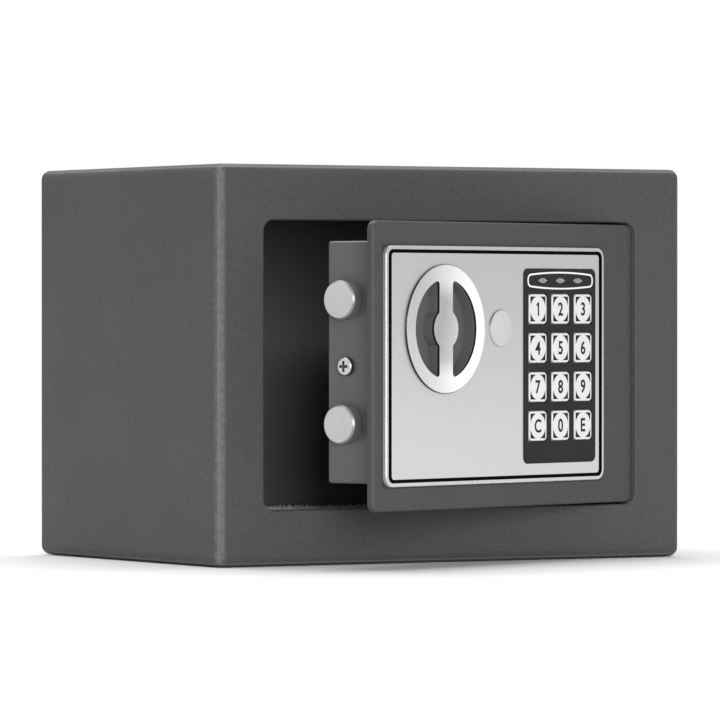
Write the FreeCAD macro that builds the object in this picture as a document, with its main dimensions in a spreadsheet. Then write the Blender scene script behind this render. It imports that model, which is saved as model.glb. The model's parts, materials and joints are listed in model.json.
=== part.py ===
import FreeCAD, Part
import math
import os
import re
import Sketcher

doc = FreeCAD.newDocument("mini_safe")

# Driving sizes: lengths in millimetres, angles in degrees.
SIZES = {
    # Case
    "case_width": "233",
    "case_depth": "164",
    "case_height": "170",
    "case_edge_radius": "4",
    "case_wall": "1.5",
    "end_pan_depth": "5",
    "left_stile_least": "10.5",
    "left_stile_share": "0.3",
    "right_stile_least": "4.2",
    "opening_drop": "0.1",
    "opening_corner": "5",
    "opening_edge_radius": "0.8",
    "return_depth": "12",
    "anchor_radius": "5",
    "anchor_half_spacing": "60",
    "floor_anchor_back": "20",
    "back_anchor_height": "110",
    "mat_step": "4.1",
    "mat_gap": "0.6",
    "mat_corner": "3",
    "mat_access_radius": "10",
    # Fits
    "running_clearance": "0.06",
    "free_clearance": "0.4",
    "overrun": "6",
    # Door and hinge
    "door_gap": "1",
    "door_thickness": "3",
    "door_corner": "4",
    "door_edge_radius": "0.9",
    "door_rest_angle": "21.5",
    "hinge_inset": "4.5",
    "hinge_depth": "2.9",
    "hinge_pin_radius": "1.25",
    "hinge_pin_seat": "9",
    "hinge_pin_reach": "0.4",
    "bush_wall": "0.6",
    "bush_reach": "0.6",
    "lug_drop": "2.4",
    "lug_half_width": "2.5",
    "lug_depth": "3.5",
    "lug_height": "12",
    # Fascia
    "fascia_left_least": "2.72",
    "fascia_left_share": "0.1",
    "hinge_margin_least": "19.18",
    "hinge_margin_share": "0.1",
    "fascia_base": "10.2",
    "fascia_head": "10.2",
    "fascia_corner": "4.6",
    "base_thickness": "0.8",
    "plate_thickness": "0.8",
    "rim_width": "1.6",
    "rim_rise": "1.7",
    "rim_round": "0.5",
    "trim_width": "1.5",
    "trim_side_width": "2.25",
    "trim_thickness": "0.85",
    "post_radius": "2",
    "post_length": "2.8",
    "fascia_screw_radius": "1.1",
    "fascia_screw_length": "2.4",
    "fascia_head_radius": "2.8",
    "fascia_head_thickness": "1.8",
    # Knob and crank
    "knob_margin": "12.7",
    "knob_head": "7.7",
    "knob_radius": "27.2",
    "knob_ring_width": "6.3",
    "knob_bar_width": "9.4",
    "knob_boss_radius": "8.5",
    "knob_bar_step": "0.4",
    "knob_well_corner": "1.4",
    "knob_face_thickness": "1",
    "knob_outer_round": "0.6",
    "knob_inner_round": "0.35",
    "knob_lift": "0.15",
    "cup_inset": "4.7",
    "cup_depth": "5",
    "cup_floor": "1.4",
    "retainer_lip": "2.8",
    "retainer_thickness": "1.2",
    "retainer_gap": "0.15",
    "crank_radius": "14",
    "crank_half_turn": "30",
    "crank_thickness": "2.4",
    "crank_hub_radius": "9",
    "crank_width": "9",
    "crank_end_radius": "5.2",
    "crank_pin_radius": "2.5",
    "crank_pin_reach": "1",
    "crank_slot_clearance": "0.3",
    "crank_screw_radius": "2",
    "crank_screw_depth": "3.5",
    "crank_head_radius": "4",
    "crank_head_thickness": "1.4",
    # Keypad
    "pad_side": "3.55",
    "pad_foot": "9.85",
    "pad_below": "7.9",
    "pad_above": "9.1",
    "pad_end": "6.6",
    "pad_corner": "3",
    "pad_rise": "2",
    "pad_skin": "1.3",
    "pad_border": "2.4",
    "pad_boss_inset": "2.6",
    "pad_boss_radius": "2",
    "pad_edge_radius": "0.4",
    "key_size": "12.5",
    "key_corner": "1.8",
    "key_edge_radius": "0.2",
    "key_rise": "0.25",
    "key_border": "0.9",
    "key_disc_radius": "5.85",
    "key_recess": "0.5",
    "key_clearance": "0.25",
    "key_gap_across": "3.9",
    "key_gap_up": "4.2",
    "key_skirt": "0.85",
    "key_skirt_gap": "0.05",
    "key_skirt_thickness": "0.8",
    "key_travel": "1",
    "key_travel_margin": "0.1",
    "membrane_thickness": "1.2",
    "membrane_lap": "7.5",
    "board_thickness": "1.6",
    "board_gap": "0.6",
    "lamp_above": "5.95",
    "lamp_margin": "5.2",
    "lamp_pitch": "12.7",
    "lamp_length": "6.4",
    "lamp_height": "1.8",
    "lamp_corner": "0.7",
    "lamp_rise": "0.15",
    "window_inset": "2.55",
    "window_height": "7.6",
    "window_line": "0.7",
    "window_rise": "0.2",
    "window_bulge": "1.1",
    "window_corner": "2.4",
    # Emergency lock
    "knob_lock_gap": "4.25",
    "lock_pad_gap": "8.35",
    "lock_lift": "0.2",
    "cap_radius": "7.85",
    "cap_rise": "0.7",
    "cap_stub_radius": "5.6",
    "cap_stub_gap": "0.1",
    "cap_dish_radius": "6.4",
    "cap_dish_depth": "0.3",
    "cap_round": "0.35",
    "barrel_radius": "6.8",
    "barrel_length": "24",
    "barrel_flange_radius": "9",
    "nut_circumradius": "10.5",
    "nut_thickness": "3",
    "plug_radius": "4.5",
    "plug_recess": "0.1",
    "plug_tail_radius": "3",
    "plug_tail_length": "3.2",
    "keyway_width": "1.4",
    "keyway_height": "6.6",
    "keyway_depth": "18",
    "cam_thickness": "2.5",
    "cam_gap": "0.3",
    "cam_throw": "6",
    "cam_nose_radius": "2.5",
    # Lock cover and its fixings
    "cover_left_inset": "4.2",
    "cover_right_inset": "2.2",
    "cover_base_inset": "1.2",
    "cover_head_lap": "1.9",
    "cover_sheet": "1.2",
    "cover_bend": "1.2",
    "bracket_thickness": "2",
    "bracket_reach": "25",
    "bracket_half_height": "7",
    "bracket_foot": "5.2",
    "near_screw_drop": "1.8",
    "far_screw_gap": "8.3",
    "cover_screw_radius": "2",
    "cover_screw_length": "7",
    "cover_head_radius": "4.05",
    "cover_head_height": "2.2",
    "cover_head_round": "1.4",
    "cross_width": "1.2",
    "cross_length": "4.6",
    "cross_depth": "1.2",
    # Bolts and carriage
    "bolt_radius": "8.2",
    "bolt_reach": "5.6",
    "bolt_flange_gap": "2.3",
    "bolt_cover_gap": "0.7",
    "bolt_foot": "24.7",
    "bolt_head": "24.6",
    "bolt_chamfer": "0.7",
    "bolt_throw": "14",
    "bolt_length": "33.6",
    "stud_radius": "4",
    "rivet_radius": "6.2",
    "rivet_thickness": "1.6",
    "web_gap": "0.2",
    "web_thickness": "2",
    "web_width": "12",
    "ear_thickness": "2",
    "ear_half_height": "6",
    "arm_rim": "6.5",
    "arm_web": "3.3",
    "arm_edge": "2",
    "lower_arm_drop": "14.5",
    "lower_arm_height": "17",
    "post_neck_radius": "2.5",
    "post_head_radius": "4.5",
    "post_head_thickness": "1.4",
    "post_play": "0.1",
    "upper_post_set": "4",
    "upper_post_gap": "2.4",
    "lower_post_set": "10",
    "lower_post_rise": "5",
    # Blocking solenoid
    "solenoid_set": "8",
    "solenoid_gap": "3.5",
    "solenoid_head_gap": "2.5",
    "solenoid_half_width": "7",
    "solenoid_plate": "1.2",
    "coil_radius": "5.6",
    "plunger_radius": "2.5",
    "plunger_chamfer": "0.6",
    "plunger_travel": "4",
    "plunger_gap": "1",
    "notch_clearance": "0.4",
    "notch_rim": "3.1",
    "bracket_strip": "1.6",
    "bracket_offset": "2.6",
    "tab_length": "13",
    "tab_width": "3",
    # Cells, tray, lid
    "cell_count": "4",
    "cell_radius": "7.1",
    "cell_length": "49.2",
    "cell_tip_radius": "2.7",
    "cell_tip_length": "1",
    "cell_gap": "0.4",
    "tray_wall": "1.5",
    "cell_lid_gap": "0.5",
    "tray_side_gap": "0.8",
    "tray_floor_gap": "1.5",
    "lid_lap": "2.5",
    "lid_thickness": "1.6",
    "lid_clearance": "0.35",
    # Reset button
    "reset_inset": "20",
    "reset_gap": "20.3",
    "reset_half_size": "4",
    "reset_body_depth": "7",
    "reset_radius": "2.5",
    "reset_rise": "1.4",
    "reset_length": "5.6",
    "reset_round": "0.5",
}
sheet = doc.addObject("Spreadsheet::Sheet", "sizes")
for row, (alias, value) in enumerate(SIZES.items(), 1):
    sheet.set("A%d" % row, alias)
    sheet.set("B%d" % row, value)
    sheet.setAlias("B%d" % row, alias)
doc.recompute()

# Places that follow from the sizes. X runs to the right, Y into the safe, Z up;
# the origin is the middle of the case's underside. The door is laid out shut.
PLACES = {
    "front": "-case_depth / 2",
    "rear": "case_depth / 2",
    "side": "case_width / 2",
    "key_pitch_across": "key_size + key_gap_across",
    "key_pitch_up": "key_size + key_gap_up",
    "key_first_row": "pad_foot + key_size / 2",
    "lamp_base": "key_first_row + 3 * key_pitch_up + key_size / 2 + lamp_above",
    "pad_width": "2 * key_pitch_across + key_size + 2 * pad_side",
    "pad_height": "lamp_base + lamp_margin",
    "knob_bay": "knob_margin + 2 * knob_radius + knob_lock_gap",
    "lock_bay": "2 * cap_radius + lock_pad_gap",
    "fascia_width": "knob_bay + lock_bay + pad_width + pad_end",
    "fascia_height": "pad_below + pad_height + pad_above",
    "door_height": "fascia_base + fascia_height + fascia_head",
    "opening_height": "door_height + 2 * door_gap",
    "least_margins": "left_stile_least + right_stile_least + fascia_left_least + hinge_margin_least",
    "spare_width": "case_width - least_margins - fascia_width - 2 * door_gap",
    "fascia_left": "fascia_left_least + fascia_left_share * spare_width",
    "hinge_margin": "hinge_margin_least + hinge_margin_share * spare_width",
    "door_width": "fascia_left + fascia_width + hinge_margin",
    "opening_width": "door_width + 2 * door_gap",
    "frame_left": "left_stile_least + left_stile_share * spare_width",
    "frame_bottom": "(case_height - opening_height) / 2 - opening_drop",
    "opening_left": "frame_left - side",
    "opening_right": "opening_left + opening_width",
    "opening_top": "frame_bottom + opening_height",
    "mat_top": "frame_bottom - mat_step",
    "door_left": "opening_left + door_gap",
    "door_right": "opening_right - door_gap",
    "door_bottom": "frame_bottom + door_gap",
    "door_top": "opening_top - door_gap",
    "door_back": "front + door_thickness",
    "hinge_x": "door_right - hinge_inset",
    "hinge_y": "front + hinge_depth",
    "bush_radius": "hinge_pin_radius + running_clearance + bush_wall",
    "fascia_x": "door_left + fascia_left",
    "fascia_end": "fascia_x + fascia_width",
    "fascia_z": "door_bottom + fascia_base",
    "fascia_top": "fascia_z + fascia_height",
    "base_face": "front - base_thickness",
    "plate_face": "base_face - plate_thickness",
    "rim_face": "front - rim_rise",
    "trim_inset": "rim_width + trim_width",
    "trim_side_inset": "rim_width + trim_side_width",
    "knob_x": "fascia_x + knob_margin + knob_radius",
    "knob_z": "fascia_top - knob_head - knob_radius",
    "knob_back": "plate_face - knob_lift",
    "knob_front": "knob_back - knob_face_thickness",
    "knob_inner_radius": "knob_radius - knob_ring_width",
    "cup_radius": "knob_radius - cup_inset",
    "retainer_radius": "cup_radius + retainer_lip",
    "cup_back": "front + cup_depth",
    "crank_back": "cup_back + crank_thickness",
    "crank_pin_x": "knob_x + crank_radius * sin(crank_half_turn)",
    "crank_pin_z": "knob_z + crank_radius * cos(crank_half_turn)",
    "pad_left": "fascia_x + knob_bay + lock_bay",
    "pad_right": "pad_left + pad_width",
    "pad_x": "pad_left + pad_width / 2",
    "pad_z": "fascia_z + pad_below",
    "pad_top": "pad_z + pad_height",
    "pad_face": "front - pad_rise",
    "pad_under": "pad_face + pad_skin",
    "hatch_left": "pad_left + pad_border",
    "hatch_right": "pad_right - pad_border",
    "hatch_bottom": "pad_z + pad_border",
    "hatch_top": "pad_top - pad_border",
    "skirt_front": "pad_under + key_skirt_gap",
    "skirt_back": "skirt_front + key_skirt_thickness",
    "membrane_front": "skirt_back + key_travel + key_travel_margin",
    "board_front": "membrane_front + membrane_thickness",
    "board_back": "board_front + board_thickness",
    "key_face": "pad_face - key_rise",
    "first_row_z": "pad_z + key_first_row",
    "lamp_z": "pad_z + lamp_base",
    "window_length": "pad_width - 2 * window_inset",
    "lock_x": "fascia_x + knob_bay + cap_radius",
    "lock_z": "knob_z + lock_lift",
    "barrel_back": "front + barrel_length",
    "cam_front": "barrel_back + cam_gap",
    "cam_back": "cam_front + cam_thickness",
    "cover_x": "fascia_x + cover_left_inset",
    "cover_end": "fascia_end - cover_right_inset",
    "cover_z": "fascia_z + cover_base_inset",
    "cover_top": "fascia_top + cover_head_lap",
    "cover_back": "bolt_y + bolt_radius + bolt_cover_gap + cover_sheet",
    "cover_inside": "cover_back - cover_sheet",
    "head_inset": "cover_sheet + fascia_head_radius + free_clearance",
    "near_screw_z": "(bolt_lower_z + bolt_upper_z) / 2 - near_screw_drop",
    "far_screw_z": "tray_top + far_screw_gap + bracket_half_height",
    "bolt_y": "front + return_depth + bolt_flange_gap + bolt_radius",
    "bolt_lower_z": "cover_z + bolt_foot",
    "bolt_upper_z": "cover_top - bolt_head",
    "bolt_tip": "cover_x - bolt_reach",
    "ear_x": "bolt_tip + bolt_length",
    "web_right": "ear_x + ear_thickness",
    "web_left": "web_right - web_width",
    "web_front": "crank_back + crank_head_thickness + web_gap",
    "web_back": "web_front + web_thickness",
    "upper_post_x": "web_right - upper_post_set",
    "upper_post_z": "cover_top - cover_sheet - upper_post_gap - post_head_radius",
    "lower_post_x": "web_right + lower_post_set",
    "lower_post_z": "lower_arm_z + lower_post_rise",
    "upper_arm_z": "crank_pin_z - crank_pin_radius - 2 * crank_slot_clearance - arm_web",
    "upper_arm_top": "upper_post_z + post_neck_radius + post_play + arm_edge",
    "upper_arm_end": "crank_pin_x + crank_pin_radius + crank_slot_clearance + arm_rim",
    "lower_arm_z": "bolt_lower_z - lower_arm_drop",
    "lower_arm_top": "lower_arm_z + lower_arm_height",
    "lower_arm_end": "solenoid_x + bolt_throw + plunger_radius + notch_clearance + notch_rim",
    "solenoid_x": "lock_x - solenoid_set",
    "solenoid_y": "web_front + web_thickness / 2",
    "solenoid_z": "lower_arm_top + solenoid_gap",
    "solenoid_top": "lock_z - nut_circumradius - solenoid_head_gap",
    "solenoid_back": "2 * solenoid_y - door_back",
    "plunger_tip": "lower_arm_top + plunger_gap",
    "plunger_top": "solenoid_top + plunger_travel + free_clearance",
    "notch_floor": "plunger_tip - plunger_travel - notch_clearance",
    "strip_right": "solenoid_x - bracket_offset",
    "strip_left": "strip_right - bracket_strip",
    "tab_z": "lock_z + cam_throw + cam_nose_radius + free_clearance",
    "tab_front": "cam_front + free_clearance / 2",
    "cell_pitch": "2 * cell_radius + cell_gap",
    "tray_right": "cover_end - cover_sheet - tray_side_gap",
    "tray_left": "tray_right - cell_count * cell_pitch - 2 * tray_wall",
    "tray_z": "cover_z + cover_sheet + tray_floor_gap",
    "tray_top": "tray_z + cell_length + cell_tip_length + cell_gap + 2 * tray_wall",
    "tray_front": "cover_inside - cell_lid_gap - 2 * cell_radius - tray_wall",
    "cell_y": "tray_front + tray_wall + cell_radius",
    "reset_x": "cover_end - reset_inset",
    "reset_z": "tray_top + reset_gap",
}
WORD = re.compile(r"[a-z_]+")
# Two places closer than this are one place.
SLIVER = 0.0005


def bound(text):
    """The spreadsheet expression for a sum of sizes and places."""
    def swap(found):
        word = found.group(0)
        if word in SIZES:
            return "sizes." + word
        if word in PLACES:
            return "(" + bound(PLACES[word]) + ")"
        return word
    return WORD.sub(swap, text)


def value(text):
    return float(sheet.evalExpression(bound(text)))


def bind(item, prop, text):
    item.setExpression(prop, bound(text))


def block(name, x, y, z):
    """A box between two places on each axis."""
    item = doc.addObject("Part::Box", name)
    for size, axis, (low, high) in (("Length", "x", x), ("Width", "y", y), ("Height", "z", z)):
        bind(item, size, "(%s) - (%s)" % (high, low))
        bind(item, "Placement.Base." + axis, low)
    return item


TURNS = {
    "X": (FreeCAD.Rotation(FreeCAD.Vector(0, 1, 0), 90), "xyz"),
    "Y": (FreeCAD.Rotation(FreeCAD.Vector(1, 0, 0), -90), "yxz"),
    "Z": (FreeCAD.Rotation(), "zxy"),
}


def stand(item, axis, centre, low):
    """Lays an upright primitive along an axis, its foot at low."""
    turn, order = TURNS[axis]
    item.Placement = FreeCAD.Placement(FreeCAD.Vector(), turn)
    for letter, text in zip(order, (low,) + tuple(centre)):
        bind(item, "Placement.Base." + letter, text)
    return item


def rod(name, axis, centre, span, radius):
    """A cylinder along an axis; centre holds the other two places."""
    item = doc.addObject("Part::Cylinder", name)
    bind(item, "Radius", radius)
    bind(item, "Height", "(%s) - (%s)" % (span[1], span[0]))
    return stand(item, axis, centre, span[0])


def fuse(name, *items):
    item = doc.addObject("Part::MultiFuse", name)
    item.Shapes = list(items)
    item.Refine = True
    return item


def common(name, *items):
    item = doc.addObject("Part::MultiCommon", name)
    item.Shapes = list(items)
    return item


def cut(name, base, *tools):
    item = doc.addObject("Part::Cut", name)
    item.Base = base
    item.Tool = tools[0] if len(tools) == 1 else fuse(name + "_tools", *tools)
    return item


def group(name, *items):
    item = doc.addObject("Part::Compound", name)
    item.Links = list(items)
    return item


def along(axis):
    """Chooses the edges that run along an axis."""
    spread = {"X": ("YLength", "ZLength"), "Y": ("XLength", "ZLength"), "Z": ("XLength", "YLength")}
    return lambda edge: all(getattr(edge.BoundBox, s) < SLIVER for s in spread[axis])


def at(axis, text):
    """Chooses the edges that lie in the plane at a place on an axis."""
    place = value(text)
    low, high = axis + "Min", axis + "Max"
    return lambda edge: (abs(getattr(edge.BoundBox, low) - place) < SLIVER
                         and abs(getattr(edge.BoundBox, high) - place) < SLIVER)


def rounded(name, base, radius, *choices, kind="Part::Fillet"):
    """Rounds, or chamfers, the edges that any choice takes."""
    doc.recompute()
    item = doc.addObject(kind, name)
    item.Base = base
    size = value(radius)
    item.Edges = [(number, size, size) for number, edge in enumerate(base.Shape.Edges, 1)
                  if any(choose(edge) for choose in choices)]
    return item


def round_block(name, x, y, z, radius, axis):
    """A box with its four edges along an axis rounded."""
    return rounded(name, block(name + "_block", x, y, z), radius, along(axis))


def slot(name, axis, span, y, place, radius):
    """A round-ended slot through Y, running along X or Z between two centres."""
    low, high = span
    wide = ("(%s) - (%s)" % (place, radius), "(%s) + (%s)" % (place, radius))
    if axis == "X":
        middle = block(name + "_middle", span, y, wide)
        ends = [rod(name + "_end", "Y", (end, place), y, radius) for end in (low, high)]
    else:
        middle = block(name + "_middle", wide, y, span)
        ends = [rod(name + "_end", "Y", (place, end), y, radius) for end in (low, high)]
    return fuse(name, middle, *ends)


def new_sketch(body, name, x, y, z):
    """A sketch facing the front, its own origin at a place below and left of the outline."""
    sketch = body.newObject("Sketcher::SketchObject", name)
    plane = [item for item in body.Origin.OriginFeatures if item.Role == "XZ_Plane"][0]
    sketch.AttachmentSupport = [(plane, "")]
    sketch.MapMode = "FlatFace"
    bind(sketch, "AttachmentOffset.Base.x", "%s - overrun" % x)
    bind(sketch, "AttachmentOffset.Base.y", "%s - overrun" % z)
    bind(sketch, "AttachmentOffset.Base.z", "-(%s)" % y)
    return sketch


def datum(sketch, kind, where, text):
    number = sketch.addConstraint(Sketcher.Constraint(kind, *where, value(text)))
    sketch.setExpression("Constraints[%d]" % number, bound(text))


def circle(sketch, home, x, z, radius):
    across = "(%s) - (%s - overrun)" % (x, home[0])
    up = "(%s) - (%s - overrun)" % (z, home[1])
    centre = FreeCAD.Vector(value(across), value(up), 0)
    item = sketch.addGeometry(Part.Circle(centre, FreeCAD.Vector(0, 0, 1), value(radius)))
    datum(sketch, "Radius", (item,), radius)
    datum(sketch, "DistanceX", (-1, 1, item, 3), across)
    datum(sketch, "DistanceY", (-1, 1, item, 3), up)


def outline(sketch, home, x, z, radius=None):
    """A rectangle, with round corners if a radius is given."""
    left, right = ["(%s) - (%s - overrun)" % (text, home[0]) for text in x]
    low, high = ["(%s) - (%s - overrun)" % (text, home[1]) for text in z]
    l, r, b, t = value(left), value(right), value(low), value(high)
    c = value(radius) if radius else 0
    ends = [((l + c, b), (r - c, b)), ((r, b + c), (r, t - c)),
            ((r - c, t), (l + c, t)), ((l, t - c), (l, b + c))]
    lines = [sketch.addGeometry(Part.LineSegment(FreeCAD.Vector(*p, 0), FreeCAD.Vector(*q, 0)))
             for p, q in ends]
    for number, kind in enumerate(("Horizontal", "Vertical") * 2):
        sketch.addConstraint(Sketcher.Constraint(kind, lines[number]))
    if radius:
        quarter = math.pi / 2
        middles = [(r - c, b + c), (r - c, t - c), (l + c, t - c), (l + c, b + c)]
        arcs = []
        for number, middle in enumerate(middles):
            ring = Part.Circle(FreeCAD.Vector(*middle, 0), FreeCAD.Vector(0, 0, 1), c)
            start = (number - 1) * quarter
            arcs.append(sketch.addGeometry(Part.ArcOfCircle(ring, start, start + quarter)))
        for number in range(4):
            following = lines[(number + 1) % 4]
            sketch.addConstraint(Sketcher.Constraint("Tangent", lines[number], 2, arcs[number], 1))
            sketch.addConstraint(Sketcher.Constraint("Tangent", arcs[number], 2, following, 1))
        for arc in arcs[1:]:
            sketch.addConstraint(Sketcher.Constraint("Equal", arcs[0], arc))
        datum(sketch, "Radius", (arcs[0],), radius)
    else:
        for number in range(4):
            following = lines[(number + 1) % 4]
            sketch.addConstraint(Sketcher.Constraint("Coincident", lines[number], 2, following, 1))
    datum(sketch, "DistanceX", (-1, 1, lines[3], 1), left)
    datum(sketch, "DistanceX", (-1, 1, lines[1], 1), right)
    datum(sketch, "DistanceY", (-1, 1, lines[0], 1), low)
    datum(sketch, "DistanceY", (-1, 1, lines[2], 1), high)


def pad(body, name, back, face, home, outlines, circles=(), inward=False):
    """Pads a sketch from the plane at back out to face, or inward from it."""
    sketch = new_sketch(body, name + "_sketch", home[0], back, home[1])
    for loop in outlines:
        outline(sketch, home, *loop)
    for loop in circles:
        circle(sketch, home, *loop)
    item = body.newObject("PartDesign::Pad", name + "_pad")
    item.Profile = sketch
    bind(item, "Length", "(%s) - (%s)" % ((face, back) if inward else (back, face)))
    item.Reversed = inward
    sketch.Visibility = False
    doc.recompute()
    return item


def pocket(body, name, back, face, home, outlines, circles=()):
    """Takes a sketch's outline out of a body from the plane at back towards face."""
    sketch = new_sketch(body, name + "_sketch", home[0], back, home[1])
    for loop in outlines:
        outline(sketch, home, *loop)
    for loop in circles:
        circle(sketch, home, *loop)
    item = body.newObject("PartDesign::Pocket", name + "_pocket")
    item.Profile = sketch
    bind(item, "Length", "(%s) - (%s)" % (back, face))
    item.Reversed = True
    sketch.Visibility = False
    doc.recompute()
    return item


def dress_face(body, name, last, face, radius):
    """Rounds the outer edge of a body's front face."""
    place = value(face)
    best = max((f for f in last.Shape.Faces if abs(f.BoundBox.YMax - place) < SLIVER
                and f.BoundBox.YLength < SLIVER), key=lambda f: f.BoundBox.DiagonalLength)
    names = ["Edge%d" % number for number, edge in enumerate(last.Shape.Edges, 1)
             if any(edge.isSame(other) for other in best.OuterWire.Edges)]
    item = body.newObject("PartDesign::Fillet", name + "_round")
    item.Base = (last, names)
    bind(item, "Radius", radius)
    doc.recompute()
    return item


CASE, DOOR = "case", "door"
NODES = []


def node(label, item, carried):
    item.Label = label
    NODES.append((item, carried))
    return item


def new_body(label, carried):
    return node(label, doc.addObject("PartDesign::Body", label), carried)


# Case: one rounded shell, parted into front pan, wrap and back pan.
shell_outside = rounded("shell_outside", block("shell_block", ("-side", "side"), ("front", "rear"),
                                               ("0", "case_height")), "case_edge_radius", lambda e: True)
shell_inside = rounded("shell_inside", block("hollow_block", ("case_wall - side", "side - case_wall"),
                                             ("front + case_wall", "rear - case_wall"),
                                             ("case_wall", "case_height - case_wall")),
                       "case_edge_radius - case_wall", lambda e: True)
shell = cut("shell", shell_outside, shell_inside)
WIDE = ("-side - overrun", "side + overrun")
HIGH = ("-overrun", "case_height + overrun")
FRONT_SEAM, BACK_SEAM = "front + end_pan_depth", "rear - end_pan_depth"
ANCHOR_SIDES = ("-anchor_half_spacing", "anchor_half_spacing")

wrap_slab = block("wrap_slab", WIDE, (FRONT_SEAM, BACK_SEAM), HIGH)
floor_holes = [rod("floor_hole", "Z", (x, "floor_anchor_back"), ("-overrun", "overrun"), "anchor_radius")
               for x in ANCHOR_SIDES]
node("body_wrap", cut("body_wrap", common("wrap_blank", shell, wrap_slab), *floor_holes), CASE)

back_slab = block("back_slab", WIDE, (BACK_SEAM, "rear + overrun"), HIGH)
back_holes = [rod("back_hole", "Y", (x, "back_anchor_height"), ("rear - overrun", "rear + overrun"),
                  "anchor_radius") for x in ANCHOR_SIDES]
node("back_panel", cut("back_panel", common("back_blank", shell, back_slab), *back_holes), CASE)

front_slab = block("front_slab", WIDE, ("front - overrun", FRONT_SEAM), HIGH)
return_block = round_block("return_block", ("opening_left - case_wall", "opening_right + case_wall"),
                           ("front", "front + return_depth"),
                           ("frame_bottom - case_wall", "opening_top + case_wall"),
                           "opening_corner + case_wall", "Y")
opening = round_block("opening", ("opening_left", "opening_right"),
                      ("front - overrun", "front + return_depth + overrun"),
                      ("frame_bottom", "opening_top"), "opening_corner", "Y")
HINGE = ("hinge_x", "hinge_y")
bush_bores = [rod("bush_bore", "Z", HINGE, span, "bush_radius")
              for span in (("opening_top - opening_corner", "opening_top + case_wall + bush_reach"),
                           ("frame_bottom - case_wall - bush_reach", "frame_bottom + opening_corner"))]
frame_blank = cut("frame_blank", fuse("frame_sheet", common("front_blank", shell, front_slab), return_block),
                  opening, *bush_bores)
doc.recompute()
mouth_left, mouth_right = value("opening_left"), value("opening_right")
mouth_low, mouth_high = value("frame_bottom"), value("opening_top")


def on_mouth(edge):
    box = edge.BoundBox
    return (at("Y", "front")(edge) and mouth_left - SLIVER < box.XMin and box.XMax < mouth_right + SLIVER
            and mouth_low - SLIVER < box.ZMin and box.ZMax < mouth_high + SLIVER)


node("front_frame", rounded("front_frame", frame_blank, "opening_edge_radius", on_mouth), CASE)

bushes = []
for sleeve in (("opening_top - bush_reach", "opening_top + case_wall + bush_reach"),
               ("frame_bottom - case_wall - bush_reach", "frame_bottom + bush_reach")):
    through = rod("bush_through", "Z", HINGE, ("%s - overrun" % sleeve[0], "%s + overrun" % sleeve[1]),
                  "hinge_pin_radius + running_clearance")
    bushes.append(cut("bush", rod("bush_sleeve", "Z", HINGE, sleeve, "bush_radius"), through))
node("hinge_bushes", group("hinge_bushes", *bushes), CASE)

mat_block = round_block("mat_block", ("case_wall + mat_gap - side", "side - case_wall - mat_gap"),
                        ("front + case_wall + mat_gap", "rear - case_wall - mat_gap"),
                        ("case_wall", "mat_top"), "mat_corner", "Z")
access_holes = [rod("access_hole", "Z", (x, "floor_anchor_back"),
                    ("-overrun", "mat_top + overrun"), "mat_access_radius")
                for x in ANCHOR_SIDES]
mat_blank = rounded("mat_blank", mat_block, "case_edge_radius - case_wall", at("Z", "case_wall"))
node("floor_mat", cut("floor_mat", mat_blank, *access_holes), CASE)

# Door plate with its openings.
HOME = ("door_left", "door_bottom")
POSTS = [(x, z) for x in ("cover_x + head_inset", "cover_end - head_inset")
         for z in ("cover_z + head_inset", "cover_top - head_inset")]
door_plate = doc.addObject("PartDesign::Body", "door_plate")
door_pad = pad(door_plate, "door", "door_back", "front", HOME,
               [(("door_left", "door_right"), ("door_bottom", "door_top"), "door_corner"),
                (("hatch_left", "hatch_right"), ("hatch_bottom", "hatch_top"))],
               [("knob_x", "knob_z", "cup_radius + running_clearance"),
                ("lock_x", "lock_z", "barrel_radius")] + [(x, z, "post_radius") for x, z in POSTS])
dress_face(door_plate, "door", door_pad, "front", "door_edge_radius")

lugs, pins = [], []
for lug_span, pin_span in ((("door_top - lug_drop - lug_height", "door_top - lug_drop"),
                            ("door_top - hinge_pin_seat", "opening_top + case_wall + hinge_pin_reach")),
                           (("door_bottom + lug_drop", "door_bottom + lug_drop + lug_height"),
                            ("frame_bottom - case_wall - hinge_pin_reach", "door_bottom + hinge_pin_seat"))):
    pin = rod("hinge_pin", "Z", HINGE, pin_span, "hinge_pin_radius")
    lug = block("lug_block", ("hinge_x - lug_half_width", "hinge_x + lug_half_width"),
                ("door_back", "door_back + lug_depth"), lug_span)
    lugs.append(cut("hinge_lug", lug, pin))
    pins.append(pin)
node("door_panel", cut("door_panel", door_plate, *pins), DOOR)
node("hinge_lugs", group("hinge_lugs", *lugs), DOOR)
node("hinge_pins", group("hinge_pins", *pins), DOOR)

# Fascia: moulded frame with rim and posts, trim line, face plate.
FASCIA = ("fascia_x", "fascia_z")
fascia_frame = new_body("fascia_frame", DOOR)
pad(fascia_frame, "fascia_base", "front", "base_face", FASCIA,
    [(("fascia_x", "fascia_end"), ("fascia_z", "fascia_top"), "fascia_corner"),
     (("pad_left", "pad_right"), ("pad_z", "pad_top"), "pad_corner")],
    [("knob_x", "knob_z", "cup_radius + free_clearance"), ("lock_x", "lock_z", "barrel_flange_radius")])
rim_pad = pad(fascia_frame, "fascia_rim", "base_face", "rim_face", FASCIA,
              [(("fascia_x", "fascia_end"), ("fascia_z", "fascia_top"), "fascia_corner"),
               (("fascia_x + rim_width", "fascia_end - rim_width"),
                ("fascia_z + rim_width", "fascia_top - rim_width"), "fascia_corner - rim_width")])
pad(fascia_frame, "fascia_posts", "front", "front + post_length", FASCIA, [],
    [(x, z, radius) for x, z in POSTS for radius in ("post_radius", "fascia_screw_radius")], inward=True)
dress_face(fascia_frame, "fascia_rim", fascia_frame.Tip, "rim_face", "rim_round")

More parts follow.
